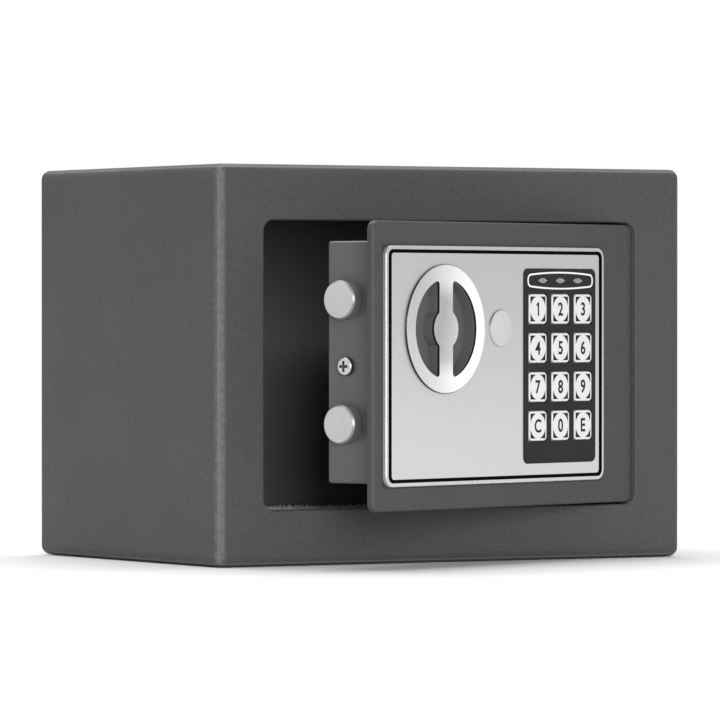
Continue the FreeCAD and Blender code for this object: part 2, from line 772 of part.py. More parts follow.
fascia_trim = new_body("fascia_trim", DOOR)
pad(fascia_trim, "trim", "base_face", "base_face - trim_thickness", FASCIA,
    [(("fascia_x + rim_width", "fascia_end - rim_width"), ("fascia_z + rim_width", "fascia_top - rim_width"),
      "fascia_corner - rim_width"),
     (("fascia_x + trim_side_inset", "fascia_end - trim_side_inset"),
      ("fascia_z + trim_inset", "fascia_top - trim_inset"), "fascia_corner - trim_inset")])

fascia_plate = new_body("fascia_plate", DOOR)
pad(fascia_plate, "plate", "base_face", "plate_face", FASCIA,
    [(("fascia_x + trim_side_inset", "fascia_end - trim_side_inset"),
      ("fascia_z + trim_inset", "fascia_top - trim_inset"), "fascia_corner - trim_inset"),
     (("pad_left", "pad_right"), ("pad_z", "pad_top"), "pad_corner")],
    [("knob_x", "knob_z", "cup_radius + free_clearance"),
     ("lock_x", "lock_z", "cap_stub_radius + running_clearance")])

fascia_screws = [fuse("fascia_screw",
                      rod("fascia_shank", "Y", spot, ("door_back - fascia_screw_length", "door_back"),
                          "fascia_screw_radius"),
                      rod("fascia_head", "Y", spot, ("door_back", "door_back + fascia_head_thickness"),
                          "fascia_head_radius")) for spot in POSTS]
node("fascia_screws", group("fascia_screws", *fascia_screws), DOOR)

# Keypad: plate, keys, membrane, board, lamps, window line.
COLUMNS = ("pad_x - key_pitch_across", "pad_x", "pad_x + key_pitch_across")
KEY_ROWS = (("key_clear", "key_0", "key_enter"), ("key_7", "key_8", "key_9"),
            ("key_4", "key_5", "key_6"), ("key_1", "key_2", "key_3"))
ROWS = ["first_row_z + %d * key_pitch_up" % number for number in range(len(KEY_ROWS))]
KEYS = {label: spot for labels, z in zip(KEY_ROWS, ROWS)
        for label, spot in zip(labels, [(x, z) for x in COLUMNS])}
LAMPS = ("pad_x - lamp_pitch", "pad_x", "pad_x + lamp_pitch")


def about(place, half):
    """The span that reaches half to each side of a place."""
    return "(%s) - (%s)" % (place, half), "(%s) + (%s)" % (place, half)


PAD = ("pad_left", "pad_z")
keypad_plate = new_body("keypad_plate", DOOR)
key_holes = [(about(x, "key_size / 2 + key_clearance"), about(z, "key_size / 2 + key_clearance"))
             for x, z in KEYS.values()]
lamp_holes = [(about(x, "lamp_length / 2"), about("lamp_z", "lamp_height / 2"), "lamp_corner") for x in LAMPS]
pad(keypad_plate, "pad", "front", "pad_face", PAD,
    [(("pad_left", "pad_right"), ("pad_z", "pad_top"), "pad_corner")] + key_holes + lamp_holes)
pocket(keypad_plate, "pad_inside", "front", "pad_under", PAD,
       [(("hatch_left", "hatch_right"), ("hatch_bottom", "hatch_top"))])
BOSSES = [(x, z, "pad_boss_radius") for x in ("hatch_left + pad_boss_inset", "hatch_right - pad_boss_inset")
          for z in ("hatch_bottom + pad_boss_inset", "hatch_top - pad_boss_inset")]
boss_pad = pad(keypad_plate, "pad_boss", "pad_under", "board_front", PAD, [], BOSSES, inward=True)
dress_face(keypad_plate, "pad", boss_pad, "pad_face", "pad_edge_radius")

for label, (x, z) in KEYS.items():
    cap = rounded(label + "_cap", round_block(label + "_blank", about(x, "key_size / 2"),
                                              ("key_face", "skirt_front"), about(z, "key_size / 2"),
                                              "key_corner", "Y"),
                  "key_edge_radius", at("Y", "key_face"))
    skirt = block(label + "_skirt", about(x, "key_size / 2 + key_skirt"), ("skirt_front", "skirt_back"),
                  about(z, "key_size / 2 + key_skirt"))
    corners = cut(label + "_corners", block(label + "_inside", about(x, "key_size / 2 - key_border"),
                                            ("key_face - overrun", "key_face + key_recess"),
                                            about(z, "key_size / 2 - key_border")),
                  rod(label + "_disc", "Y", (x, z), ("key_face - 2 * overrun", "key_face + overrun"),
                      "key_disc_radius"))
    node(label, cut(label, fuse(label + "_form", cap, skirt), corners), DOOR)

membrane = new_body("keypad_membrane", DOOR)
pad(membrane, "membrane", "board_front", "membrane_front", PAD,
    [(("hatch_left + board_gap", "hatch_right - board_gap"),
      ("first_row_z - membrane_lap", "%s + membrane_lap" % ROWS[-1]))])
circuit_board = new_body("circuit_board", DOOR)
pad(circuit_board, "board", "board_back", "board_front", PAD,
    [(("hatch_left + board_gap", "hatch_right - board_gap"),
      ("hatch_bottom + board_gap", "hatch_top - board_gap"))])
lamps = [round_block("lamp", about(x, "lamp_length / 2"), ("pad_face - lamp_rise", "board_front"),
                     about("lamp_z", "lamp_height / 2"), "lamp_corner", "Y") for x in LAMPS]
node("indicator_lamps", group("indicator_lamps", *lamps), DOOR)


def bulged_bar(name, inset, y):
    """A bar with bulging long sides and round corners, drawn in by inset."""
    half, tall = "(window_length / 2 - %s)" % inset, "(window_height / 2 - %s)" % inset
    curve = "(%s ^ 2 / (2 * window_bulge) + window_bulge / 2)" % half
    ends = block(name + "_ends", about("pad_x", half), y, about("lamp_z", tall + " + overrun"))
    arches = [rod(name + "_arch", "Y", ("pad_x", "lamp_z %s (%s - %s)" % (sign, curve, tall)), y, curve)
              for sign in ("-", "+")]
    return rounded(name, common(name + "_bar", ends, *arches), "window_corner - %s" % inset, along("Y"))


WINDOW = ("pad_face - window_rise", "pad_face")
node("indicator_window", cut("indicator_window", bulged_bar("window_outside", "0", WINDOW),
                             bulged_bar("window_inside", "window_line",
                                        ("pad_face - overrun", "pad_face + overrun"))), DOOR)

# Knob: silver face, dark cup with the finger wells, retainer.
KNOB = ("knob_x", "knob_z")
face_disc = cut("face_ring", rod("face_disc", "Y", KNOB, ("knob_front", "knob_back"), "knob_radius"),
                rod("face_hole", "Y", KNOB, ("knob_front - overrun", "knob_back + overrun"),
                    "knob_inner_radius"))
RING_MIDDLE = "knob_radius - knob_ring_width / 2"
face_bar = block("face_bar", about("knob_x", "knob_bar_width / 2"), ("knob_front", "knob_back"),
                 about("knob_z", RING_MIDDLE))
face_boss = rod("face_boss", "Y", KNOB, ("knob_front", "knob_back"), "knob_boss_radius")
face_blank = rounded("face_blank", fuse("face_form", face_disc, face_bar, face_boss), "knob_well_corner",
                     along("Y"))
KNOB_EDGE = 2 * value("knob_radius") - SLIVER
face_soft = rounded("face_soft", face_blank, "knob_inner_round",
                    lambda e: at("Y", "knob_front")(e) and e.BoundBox.ZLength < KNOB_EDGE)
node("knob_face", rounded("knob_face", face_soft, "knob_outer_round",
                          lambda e: at("Y", "knob_front")(e) and e.BoundBox.ZLength > KNOB_EDGE), DOOR)
well = rod("well", "Y", KNOB, ("knob_front - overrun", "cup_back - cup_floor"),
           "knob_inner_radius - knob_bar_step")
well_bar = block("well_bar", about("knob_x", "knob_bar_width / 2 - knob_bar_step"),
                 ("knob_front - 2 * overrun", "cup_back"), about("knob_z", "knob_radius"))
well_boss = rod("well_boss", "Y", KNOB, ("knob_front - 2 * overrun", "cup_back"),
                "knob_boss_radius - knob_bar_step")
wells = cut("wells", well, well_bar, well_boss)
crank_screw = fuse("crank_screw", rod("crank_shank", "Y", KNOB, ("cup_back - crank_screw_depth", "crank_back"),
                                      "crank_screw_radius"),
                   rod("crank_head", "Y", KNOB, ("crank_back", "crank_back + crank_head_thickness"),
                       "crank_head_radius"))
node("knob_cup", cut("knob_cup", rod("cup_blank", "Y", KNOB, ("knob_back", "cup_back"), "cup_radius"), wells,
                     rod("cup_screw_hole", "Y", KNOB, ("cup_back - crank_screw_depth", "cup_back + overrun"),
                         "crank_screw_radius")), DOOR)
RETAINER = ("door_back + retainer_gap", "door_back + retainer_gap + retainer_thickness")
node("knob_retainer", cut("knob_retainer", rod("retainer_disc", "Y", KNOB, RETAINER, "retainer_radius"),
                          rod("retainer_hole", "Y", KNOB, ("front - overrun", "cup_back + overrun"),
                              "cup_radius")), DOOR)
node("crank_screw", crank_screw, DOOR)

CRANK_PIN = ("crank_pin_x", "crank_pin_z")
CRANK = ("cup_back", "crank_back")
crank_arm = block("crank_arm", ("0", "crank_width"), CRANK, ("0", "crank_radius"))
crank_turn = FreeCAD.Rotation(FreeCAD.Vector(0, 1, 0), value("crank_half_turn"))
crank_arm.Placement = FreeCAD.Placement(FreeCAD.Vector(), crank_turn)
bind(crank_arm, "Placement.Rotation.Angle", "crank_half_turn")
bind(crank_arm, "Placement.Base.x", "knob_x - crank_width / 2 * cos(crank_half_turn)")
bind(crank_arm, "Placement.Base.z", "knob_z + crank_width / 2 * sin(crank_half_turn)")
crank_blank = fuse("crank_blank", crank_arm, rod("crank_hub", "Y", KNOB, CRANK, "crank_hub_radius"),
                   rod("crank_end", "Y", CRANK_PIN, CRANK, "crank_end_radius"),
                   rod("crank_pin", "Y", CRANK_PIN, ("crank_back", "web_back + crank_pin_reach"),
                       "crank_pin_radius"))
node("drive_crank", cut("drive_crank", crank_blank,
                        rod("crank_hole", "Y", KNOB, ("cup_back - overrun", "crank_back + overrun"),
                            "crank_screw_radius")), DOOR)

# Bolts and the carriage that joins them.
for label, z in (("bolt_upper", "bolt_upper_z"), ("bolt_lower", "bolt_lower_z")):
    shaft = rounded(label + "_shaft", rod(label + "_rod", "X", ("bolt_y", z), ("bolt_tip", "ear_x"),
                                          "bolt_radius"),
                    "bolt_chamfer", at("X", "bolt_tip"), kind="Part::Chamfer")
    stud = rod(label + "_stud", "X", ("bolt_y", z), ("ear_x", "web_right + rivet_thickness"), "stud_radius")
    node(label, fuse(label, shaft, stud), DOOR)
rivets = [cut("bolt_rivet", rod("rivet_disc", "X", ("bolt_y", z), ("web_right", "web_right + rivet_thickness"),
                                "rivet_radius"),
              rod("rivet_hole", "X", ("bolt_y", z), ("web_right - overrun", "web_right + overrun"),
                  "stud_radius")) for z in ("bolt_upper_z", "bolt_lower_z")]
node("bolt_rivets", group("bolt_rivets", *rivets), DOOR)

WEB = ("web_front", "web_back")
THROUGH_WEB = ("web_front - overrun", "web_back + overrun")
UPPER_POST = ("upper_post_x", "upper_post_z")
LOWER_POST = ("lower_post_x", "lower_post_z")
ears = [block("ear", ("ear_x", "web_right"), ("web_front", "bolt_y + ear_half_height"),
              about(z, "ear_half_height")) for z in ("bolt_upper_z", "bolt_lower_z")]
web = fuse("web", block("web_strip", ("web_left", "web_right"), WEB,
                        ("lower_arm_z", "upper_arm_top")),
           block("upper_arm", ("web_left", "upper_arm_end"), WEB, ("upper_arm_z", "upper_arm_top")),
           block("lower_arm", ("web_left", "lower_arm_end"), WEB, ("lower_arm_z", "lower_arm_top")), *ears)
crank_slot = slot("crank_slot", "Z", ("crank_pin_z - crank_slot_clearance",
                                      "knob_z + crank_radius + crank_slot_clearance"), THROUGH_WEB,
                  "crank_pin_x", "crank_pin_radius + crank_slot_clearance")
guide_slots = [slot("guide_slot", "X", (x, "%s + bolt_throw" % x), THROUGH_WEB, z,
                    "post_neck_radius + post_play") for x, z in (UPPER_POST, LOWER_POST)]
notches = [block("notch", about(x, "plunger_radius + notch_clearance"), THROUGH_WEB,
                 ("notch_floor", "lower_arm_top + overrun"))
           for x in ("solenoid_x", "solenoid_x + bolt_throw")]
stud_holes = [rod("stud_hole", "X", ("bolt_y", z), ("ear_x - overrun", "web_right + overrun"), "stud_radius")
              for z in ("bolt_upper_z", "bolt_lower_z")]
node("bolt_carriage", cut("bolt_carriage", web, crank_slot, *guide_slots, *notches, *stud_holes), DOOR)
guide_posts = [fuse("guide_post", rod("post_foot", "Y", spot, ("door_back", "web_front"), "post_head_radius"),
                    rod("post_neck", "Y", spot, ("web_front", "web_back + post_play"), "post_neck_radius"),
                    rod("post_head", "Y", spot, ("web_back + post_play",
                                                 "web_back + post_play + post_head_thickness"),
                        "post_head_radius")) for spot in (UPPER_POST, LOWER_POST)]
node("guide_posts", group("guide_posts", *guide_posts), DOOR)

# Blocking solenoid and the bracket that the key cam lifts.
SOLENOID = ("solenoid_x", "solenoid_y")
ACROSS = about("solenoid_x", "solenoid_half_width")
SOLENOID_BORE = "plunger_radius + running_clearance"
solenoid_bore = rod("solenoid_bore", "Z", SOLENOID, ("solenoid_z - overrun", "solenoid_top + overrun"),
                    SOLENOID_BORE)
frame_plates = fuse("solenoid_plates",
                    block("solenoid_wall", ACROSS, ("door_back", "door_back + solenoid_plate"),
                          ("solenoid_z", "solenoid_top")),
                    block("solenoid_sole", ACROSS, ("door_back", "solenoid_back"),
                          ("solenoid_z", "solenoid_z + solenoid_plate")),
                    block("solenoid_crown", ACROSS, ("door_back", "solenoid_back"),
                          ("solenoid_top - solenoid_plate", "solenoid_top")))
node("solenoid_frame", cut("solenoid_frame", frame_plates, solenoid_bore), DOOR)
coil = rod("coil_blank", "Z", SOLENOID, ("solenoid_z + solenoid_plate", "solenoid_top - solenoid_plate"),
           "coil_radius")
node("solenoid_coil", cut("solenoid_coil", coil, solenoid_bore), DOOR)
plunger = rod("plunger_rod", "Z", SOLENOID, ("plunger_tip", "plunger_top"), "plunger_radius")
node("solenoid_plunger", rounded("solenoid_plunger", plunger, "plunger_chamfer", at("Z", "plunger_tip"),
                                 kind="Part::Chamfer"), DOOR)
STRIP = ("strip_left", "strip_right")
bracket = fuse("release_bracket",
               block("release_foot", ("strip_left", "solenoid_x + plunger_radius"),
                     about("solenoid_y", "plunger_radius"), ("plunger_top", "plunger_top + bracket_strip")),
               block("release_strip", STRIP, ("solenoid_y - plunger_radius", "tab_front + tab_width"),
                     ("plunger_top", "tab_z + bracket_strip")),
               block("release_tab", ("strip_left", "strip_right + tab_length"),
                     ("tab_front", "tab_front + tab_width"), ("tab_z", "tab_z + bracket_strip")))
node("release_bracket", bracket, DOOR)

# Emergency lock behind its cap.
LOCK = ("lock_x", "lock_z")
cap_disc = rounded("cap_disc", rod("cap_blank", "Y", LOCK, ("plate_face - cap_rise", "plate_face"),
                                   "cap_radius"), "cap_round", at("Y", "plate_face - cap_rise"))
cap_dish = doc.addObject("Part::Sphere", "cap_dish")
DISH = "(cap_dish_radius ^ 2 / (2 * cap_dish_depth) + cap_dish_depth / 2)"
bind(cap_dish, "Radius", DISH)
stand(cap_dish, "Z", ("lock_x", "plate_face - cap_rise + cap_dish_depth - " + DISH), "lock_z")
cap_stub = rod("cap_stub", "Y", LOCK, ("plate_face", "base_face - cap_stub_gap"), "cap_stub_radius")
node("keyhole_cap", cut("keyhole_cap", fuse("cap_form", cap_disc, cap_stub), cap_dish), DOOR)
barrel_blank = fuse("barrel_blank", rod("barrel_flange", "Y", LOCK, ("base_face", "front"),
                                        "barrel_flange_radius"),
                    rod("barrel_tube", "Y", LOCK, ("front", "barrel_back"), "barrel_radius"))
node("override_barrel", cut("override_barrel", barrel_blank,
                            rod("barrel_bore", "Y", LOCK, ("base_face - overrun", "barrel_back + overrun"),
                                "plug_radius + running_clearance")), DOOR)
nut_blank = doc.addObject("Part::Prism", "nut_blank")
bind(nut_blank, "Circumradius", "nut_circumradius")
bind(nut_blank, "Height", "nut_thickness")
stand(nut_blank, "Y", LOCK, "door_back")
node("override_nut", cut("override_nut", nut_blank,
                         rod("nut_hole", "Y", LOCK, ("front", "door_back + nut_thickness + overrun"),
                             "barrel_radius")), DOOR)
plug_blank = fuse("plug_blank", rod("plug_body", "Y", LOCK, ("base_face + plug_recess", "cam_front"),
                                    "plug_radius"),
                  rod("plug_tail", "Y", LOCK, ("cam_front", "cam_front + plug_tail_length"),
                      "plug_tail_radius"))
keyway = block("keyway", about("lock_x", "keyway_width / 2"),
               ("base_face - overrun", "base_face + plug_recess + keyway_depth"),
               about("lock_z", "keyway_height / 2"))
node("override_plug", cut("override_plug", plug_blank, keyway), DOOR)
CAM = ("cam_front", "cam_back")
cam_blank = fuse("cam_blank", rod("cam_hub", "Y", LOCK, CAM, "plug_radius"),
                 rod("cam_nose", "Y", ("lock_x - cam_throw", "lock_z"), CAM, "cam_nose_radius"),
                 block("cam_arm", ("lock_x - cam_throw", "lock_x"), CAM, about("lock_z", "cam_nose_radius")))
node("override_cam", cut("override_cam", cam_blank,
                         rod("cam_hole", "Y", LOCK, ("cam_front - overrun", "cam_back + overrun"),
                             "plug_tail_radius")), DOOR)

# Cells in their tray, lid over them.
tray_hollow = block("tray_hollow", ("tray_left + tray_wall", "tray_right - tray_wall"),
                    ("tray_front + tray_wall", "cover_inside + overrun"),
                    ("tray_z + tray_wall", "tray_top - tray_wall"))
node("battery_tray", cut("battery_tray", block("tray_block", ("tray_left", "tray_right"),
                                               ("tray_front", "cover_inside"), ("tray_z", "tray_top")),
                         tray_hollow), DOOR)
cells = []
for number in range(round(value("cell_count"))):
    spot = ("tray_left + tray_wall + (%d + 1 / 2) * cell_pitch" % number, "cell_y")
    can_top = "tray_z + tray_wall + cell_length"
    cells.append(fuse("cell", rod("cell_can", "Z", spot, ("tray_z + tray_wall", can_top), "cell_radius"),
                      rod("cell_tip", "Z", spot, (can_top, can_top + " + cell_tip_length"),
                          "cell_tip_radius")))
node("battery_cells", group("battery_cells", *cells), DOOR)
LID_X = ("tray_left + tray_wall", "tray_right - tray_wall")
LID_Z = ("tray_z + tray_wall", "tray_top - tray_wall")


def widened(span, by):
    """A span that reaches further out at both ends."""
    return "%s - (%s)" % (span[0], by), "%s + (%s)" % (span[1], by)


lid_plate = round_block("lid_plate", widened(LID_X, "lid_lap"), ("cover_back", "cover_back + lid_thickness"),
                        widened(LID_Z, "lid_lap"), "lid_lap", "Y")
lid_plug = block("lid_plug", widened(LID_X, "-lid_clearance"), ("cover_inside", "cover_back"),
                 widened(LID_Z, "-lid_clearance"))
node("battery_lid", fuse("battery_lid", lid_plate, lid_plug), DOOR)

# Reset button on its switch.
RESET = ("reset_x", "reset_z")
switch_block = block("switch_block", about("reset_x", "reset_half_size"),
                     ("cover_inside - reset_body_depth", "cover_inside"),
                     about("reset_z", "reset_half_size"))
node("reset_switch", cut("reset_switch", switch_block,
                         rod("switch_bore", "Y", RESET, ("cover_inside - reset_length", "cover_back + overrun"),
                             "reset_radius + running_clearance")), DOOR)
button = rod("reset_rod", "Y", RESET, ("cover_back + reset_rise - reset_length", "cover_back + reset_rise"),
             "reset_radius")
node("reset_button", rounded("reset_button", button, "reset_round", at("Y", "cover_back + reset_rise")),
     DOOR)

# Lock cover with its brackets and cross-head screws.
cover_blank = rounded("cover_blank", block("cover_block", ("cover_x", "cover_end"), ("door_back", "cover_back"),
                                           ("cover_z", "cover_top")),
                      "cover_bend", along("Y"), at("Y", "cover_back"))
cover_hollow = block("cover_hollow", ("cover_x + cover_sheet", "cover_end - cover_sheet"),
                     ("door_back - overrun", "cover_inside"),
                     ("cover_z + cover_sheet", "cover_top - cover_sheet"))
bolt_holes = [rod("bolt_hole", "X", ("bolt_y", z), ("cover_x - overrun", "cover_x + overrun"),
                  "bolt_radius + running_clearance") for z in ("bolt_upper_z", "bolt_lower_z")]
SIDES = (("cover_x", "+", "near_screw_z"), ("cover_end", "-", "far_screw_z"))
brackets, cover_screws, screw_holes = [], [], []


def inward(place, sign, low, high):
    """The span between two depths inside a side wall."""
    ends = ["%s %s (%s)" % (place, sign, depth) for depth in (low, high)]
    return tuple(ends if sign == "+" else reversed(ends))


for place, sign, z in SIDES:
    spot = ("bolt_y", z)
    hole = rod("screw_hole", "X", spot, about(place, "overrun"), "cover_screw_radius")
    leg = block("bracket_leg", inward(place, sign, "cover_sheet", "cover_sheet + bracket_thickness"),
                ("door_back", "door_back + bracket_reach"), about(z, "bracket_half_height"))
    foot = block("bracket_foot", inward(place, sign, "cover_sheet", "cover_sheet + bracket_foot"),
                 ("door_back", "door_back + bracket_thickness"), about(z, "bracket_half_height"))
    brackets.append(cut("cover_bracket", fuse("bracket_form", leg, foot), hole))
    head = rounded("screw_dome", rod("screw_head", "X", spot, inward(place, sign, "-cover_head_height", "0"),
                                     "cover_head_radius"),
                   "cover_head_round", at("X", "%s %s (-cover_head_height)" % (place, sign)))
    shank = rod("screw_shank", "X", spot, inward(place, sign, "0", "cover_screw_length"), "cover_screw_radius")
    recess = inward(place, sign, "-cover_head_height - overrun", "cross_depth - cover_head_height")
    cross = [block("cross", recess, about("bolt_y", half_y), about(z, half_z))
             for half_y, half_z in (("cross_width / 2", "cross_length / 2"),
                                    ("cross_length / 2", "cross_width / 2"))]
    cover_screws.append(cut("cover_screw", fuse("screw_form", head, shank), *cross))
    screw_holes.append(hole)
lid_hole = block("lid_hole", LID_X, ("cover_inside - overrun", "cover_back + overrun"), LID_Z)
reset_hole = rod("reset_hole", "Y", RESET, ("cover_inside - overrun", "cover_back + overrun"),
                 "reset_radius + running_clearance")
node("lock_cover", cut("lock_cover", cover_blank, cover_hollow, lid_hole, reset_hole, *bolt_holes,
                       *screw_holes), DOOR)
node("cover_brackets", group("cover_brackets", *brackets), DOOR)
node("cover_screws", group("cover_screws", *cover_screws), DOOR)

# The door stands ajar: what it carries is swung about the hinge pins.
SWING = bound("create(<<placement>>; create(<<vector>>; 0; 0; 0); "
              "create(<<rotation>>; create(<<vector>>; 0; 0; 1); door_rest_angle); "
              "create(<<vector>>; hinge_x; hinge_y; 0))")
for item, carried in NODES:
    if carried == DOOR:
        item.setExpression("Placement", SWING)
doc.recompute()

for item in doc.Objects:
    if "Invalid" in item.State or "Error" in item.State:
        raise RuntimeError("%s did not build" % item.Label)
os.makedirs("parts", exist_ok=True)
for item, carried in NODES:
    shape = item.Shape
    if shape.isNull() or not shape.isValid() or not shape.Solids:
        raise RuntimeError("%s has no sound solid" % item.Label)
    shape.exportStep("parts/%s.step" % item.Label)
    print(item.Label, len(shape.Solids), round(shape.Volume, 1))
print(len(NODES), "nodes")
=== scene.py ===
# %% [markdown]
# # A mini safe with its door ajar
# The steel case, the door, the lock and the keys arrive as exact solids. This lesson gives them
# their finishes, adds the soft and printed things that solids do badly (the carpet, the figures on
# the keys, the lamp lenses), and sets up a plain studio. Everything is in metres, and the safe
# stands where the solids stand, so nothing has to be fitted by eye.

# %% Load the solids
import json
import math

import bmesh
import bpy
from mathutils import Matrix, Vector, noise

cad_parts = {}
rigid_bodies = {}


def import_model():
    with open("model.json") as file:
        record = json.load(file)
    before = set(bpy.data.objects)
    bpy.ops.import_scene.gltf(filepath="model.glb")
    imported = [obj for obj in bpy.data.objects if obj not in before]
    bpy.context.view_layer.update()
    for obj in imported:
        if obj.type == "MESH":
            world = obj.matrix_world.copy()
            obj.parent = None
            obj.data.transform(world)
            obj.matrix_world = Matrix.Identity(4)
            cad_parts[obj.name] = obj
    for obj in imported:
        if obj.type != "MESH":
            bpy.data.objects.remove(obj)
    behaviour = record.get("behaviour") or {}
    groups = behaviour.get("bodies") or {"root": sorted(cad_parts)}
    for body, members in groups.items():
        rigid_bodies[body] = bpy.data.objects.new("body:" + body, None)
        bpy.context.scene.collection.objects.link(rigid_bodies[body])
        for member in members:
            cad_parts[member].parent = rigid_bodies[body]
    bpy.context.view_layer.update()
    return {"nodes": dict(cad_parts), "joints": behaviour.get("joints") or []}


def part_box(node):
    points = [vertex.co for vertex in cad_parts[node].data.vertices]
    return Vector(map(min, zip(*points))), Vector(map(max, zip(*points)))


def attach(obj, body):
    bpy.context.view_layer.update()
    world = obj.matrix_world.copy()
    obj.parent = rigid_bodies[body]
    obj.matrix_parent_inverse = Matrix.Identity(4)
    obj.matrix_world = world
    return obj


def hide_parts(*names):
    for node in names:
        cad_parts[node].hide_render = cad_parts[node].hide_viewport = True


for spare in list(bpy.data.objects):
    bpy.data.objects.remove(spare)
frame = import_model()
scene = bpy.context.scene

# %% [markdown]
# ## The door's own space
# The door stands open by 21.5 degrees, and everything on it is square to the door, not to the
# room. It is far easier to lay out key figures and paint masks on a shut door. So there is one
# matrix that swings a shut point about the hinge to where it stands, and a helper that measures a
# node as if the door were shut.

# %% Shut door to open door
swing = next(j for j in frame["joints"] if j["name"] == "door_swing")
REST_ANGLE = -math.radians(swing["range_deg"][0])
HINGE = Vector((*swing["pos_m"][:2], 0.0))
SWING = Matrix.Translation(HINGE) @ Matrix.Rotation(REST_ANGLE, 4, "Z") @ Matrix.Translation(-HINGE)
SHUT = SWING.inverted()
FACING = Matrix.Rotation(math.radians(90), 4, "X")  # a flat drawing stood up to face out of the door


def shut_box(node):
    """Lowest and highest corner of a door node, measured with the door swung shut."""
    points = [SHUT @ v.co for v in frame["nodes"][node].data.vertices]
    return (Vector(min(p[i] for p in points) for i in range(3)),
            Vector(max(p[i] for p in points) for i in range(3)))


fascia_low, fascia_high = shut_box("fascia_frame")
print("fascia, shut: %.1f x %.1f mm" % tuple((fascia_high - fascia_low)[i] * 1000 for i in (0, 2)))

# %% [markdown]
# ## Small tools for nodes
# Both shaders and Geometry Nodes are graphs, and a graph in code gets long. `put` adds one node
# and fills its inputs, with plain values or with sockets of other nodes. `new_group` makes a group
# with named inputs and outputs, which is how one effect serves many finishes.

# %% Node helpers
def put(tree, kind, inputs=None, **settings):
    """Adds a node; inputs maps a socket's name or number to a value or to a socket to join."""
    node = tree.nodes.new(kind)
    for name, value in settings.items():
        setattr(node, name, value)
    for name, value in (inputs or {}).items():
        if isinstance(value, bpy.types.NodeSocket):
            tree.links.new(value, node.inputs[name])
        else:
            node.inputs[name].default_value = value
    return node


def new_group(name, kind, inputs, outputs):
    """A node group, with its input sockets to read from and its output sockets to fill."""
    group = bpy.data.node_groups.new(name, kind)
    for label, socket, value in inputs:
        made = group.interface.new_socket(label, in_out="INPUT", socket_type=socket)
        if value is not None:
            made.default_value = value
    for label, socket in outputs:
        group.interface.new_socket(label, in_out="OUTPUT", socket_type=socket)
    return group, put(group, "NodeGroupInput").outputs, put(group, "NodeGroupOutput").inputs


def maths(tree, operation, a, b=0.0, clamp=False):
    return put(tree, "ShaderNodeMath", {0: a, 1: b}, operation=operation, use_clamp=clamp).outputs[0]


def ramp(tree, value, low, high, start=0.0, end=1.0):
    """Maps low..high smoothly onto start..end."""
    spans = {"Value": value, "From Min": low, "From Max": high, "To Min": start, "To Max": end}
    return put(tree, "ShaderNodeMapRange", spans, interpolation_type="SMOOTHSTEP").outputs[0]


def vectors(tree, operation, a, b=(0, 0, 0)):
    return put(tree, "ShaderNodeVectorMath", {0: a, 1: b}, operation=operation).outputs[0]


def mix_colours(tree, share, first, second):
    return put(tree, "ShaderNodeMix", {0: share, 6: first, 7: second}, data_type="RGBA").outputs[2]


FLOAT, VECTOR, WHOLE = "NodeSocketFloat", "NodeSocketVector", "NodeSocketInt"
print("node helpers ready")

# %% [markdown]
# ## Effects that several finishes share
# Powder coat, moulded plastic and lacquer differ in colour and gloss, but they share a few things:
# a fine grain from how they set, a painted highlight along the front edge, and a faint uneven haze
# from handling. Each effect is one node group. The groups only put out masks and heights; the shader
# itself stays in each material.

# %% Grain of a sprayed or moulded skin
skin_grain, given, result = new_group(
    "skin_grain", "ShaderNodeTree",
    [("Vector", VECTOR, None), ("Size", FLOAT, 0.001)], [("Height", FLOAT), ("Fleck", FLOAT)])
per_metre = maths(skin_grain, "DIVIDE", 1.0, given["Size"])
pebble = put(skin_grain, "ShaderNodeTexVoronoi",
             {"Vector": given["Vector"], "Scale": per_metre, "Smoothness": 0.6}, feature="SMOOTH_F1")
ripple = put(skin_grain, "ShaderNodeTexNoise", {"Vector": given["Vector"],
                                                "Scale": maths(skin_grain, "MULTIPLY", per_metre, 0.55),
                                                "Detail": 3.0})
fleck = put(skin_grain, "ShaderNodeTexNoise", {"Vector": given["Vector"],
                                               "Scale": maths(skin_grain, "MULTIPLY", per_metre, 1.7),
                                               "Detail": 1.0})
height = maths(skin_grain, "ADD", maths(skin_grain, "MULTIPLY", pebble.outputs["Distance"], -0.6),
               ripple.outputs["Fac"])
skin_grain.links.new(height, result["Height"])
skin_grain.links.new(ramp(skin_grain, fleck.outputs["Fac"], 0.35, 0.65), result["Fleck"])
print("group skin_grain:", len(skin_grain.nodes), "nodes")

# %% Painted highlight along the upright front edge of a box
edge_rub, given, result = new_group(
    "edge_rub", "ShaderNodeTree",
    [("Vector", VECTOR, None), ("Middle", VECTOR, (0, 0, 0)), ("Half", VECTOR, (0.1, 0.1, 0.1)),
     ("Width", FLOAT, 0.003)], [("Mask", FLOAT), ("Depth", FLOAT)])
offset = vectors(edge_rub, "SUBTRACT", given["Vector"], given["Middle"])
inset = vectors(edge_rub, "SUBTRACT", given["Half"], vectors(edge_rub, "ABSOLUTE", offset))
side = put(edge_rub, "ShaderNodeSeparateXYZ", {0: inset}).outputs
from_corner = vectors(edge_rub, "ADD", offset, given["Half"])
ahead = put(edge_rub, "ShaderNodeSeparateXYZ", {0: from_corner}).outputs
closeness = maths(edge_rub, "DIVIDE", maths(edge_rub, "ADD", ahead[0], ahead[1]), given["Width"])
patchy = put(edge_rub, "ShaderNodeTexNoise", {"Vector": given["Vector"], "Scale": 420.0, "Detail": 3.0})
highlight_mask = maths(edge_rub, "MULTIPLY", ramp(edge_rub, closeness, 1.0, 0.2),
             ramp(edge_rub, patchy.outputs["Fac"], 0.35, 0.65, 0.5, 1.0), clamp=True)
edge_rub.links.new(highlight_mask, result["Mask"])
nearest = maths(edge_rub, "MINIMUM", maths(edge_rub, "MINIMUM", side[0], side[1]), side[2])
edge_rub.links.new(nearest, result["Depth"])
print("group edge_rub:", len(edge_rub.nodes), "nodes")

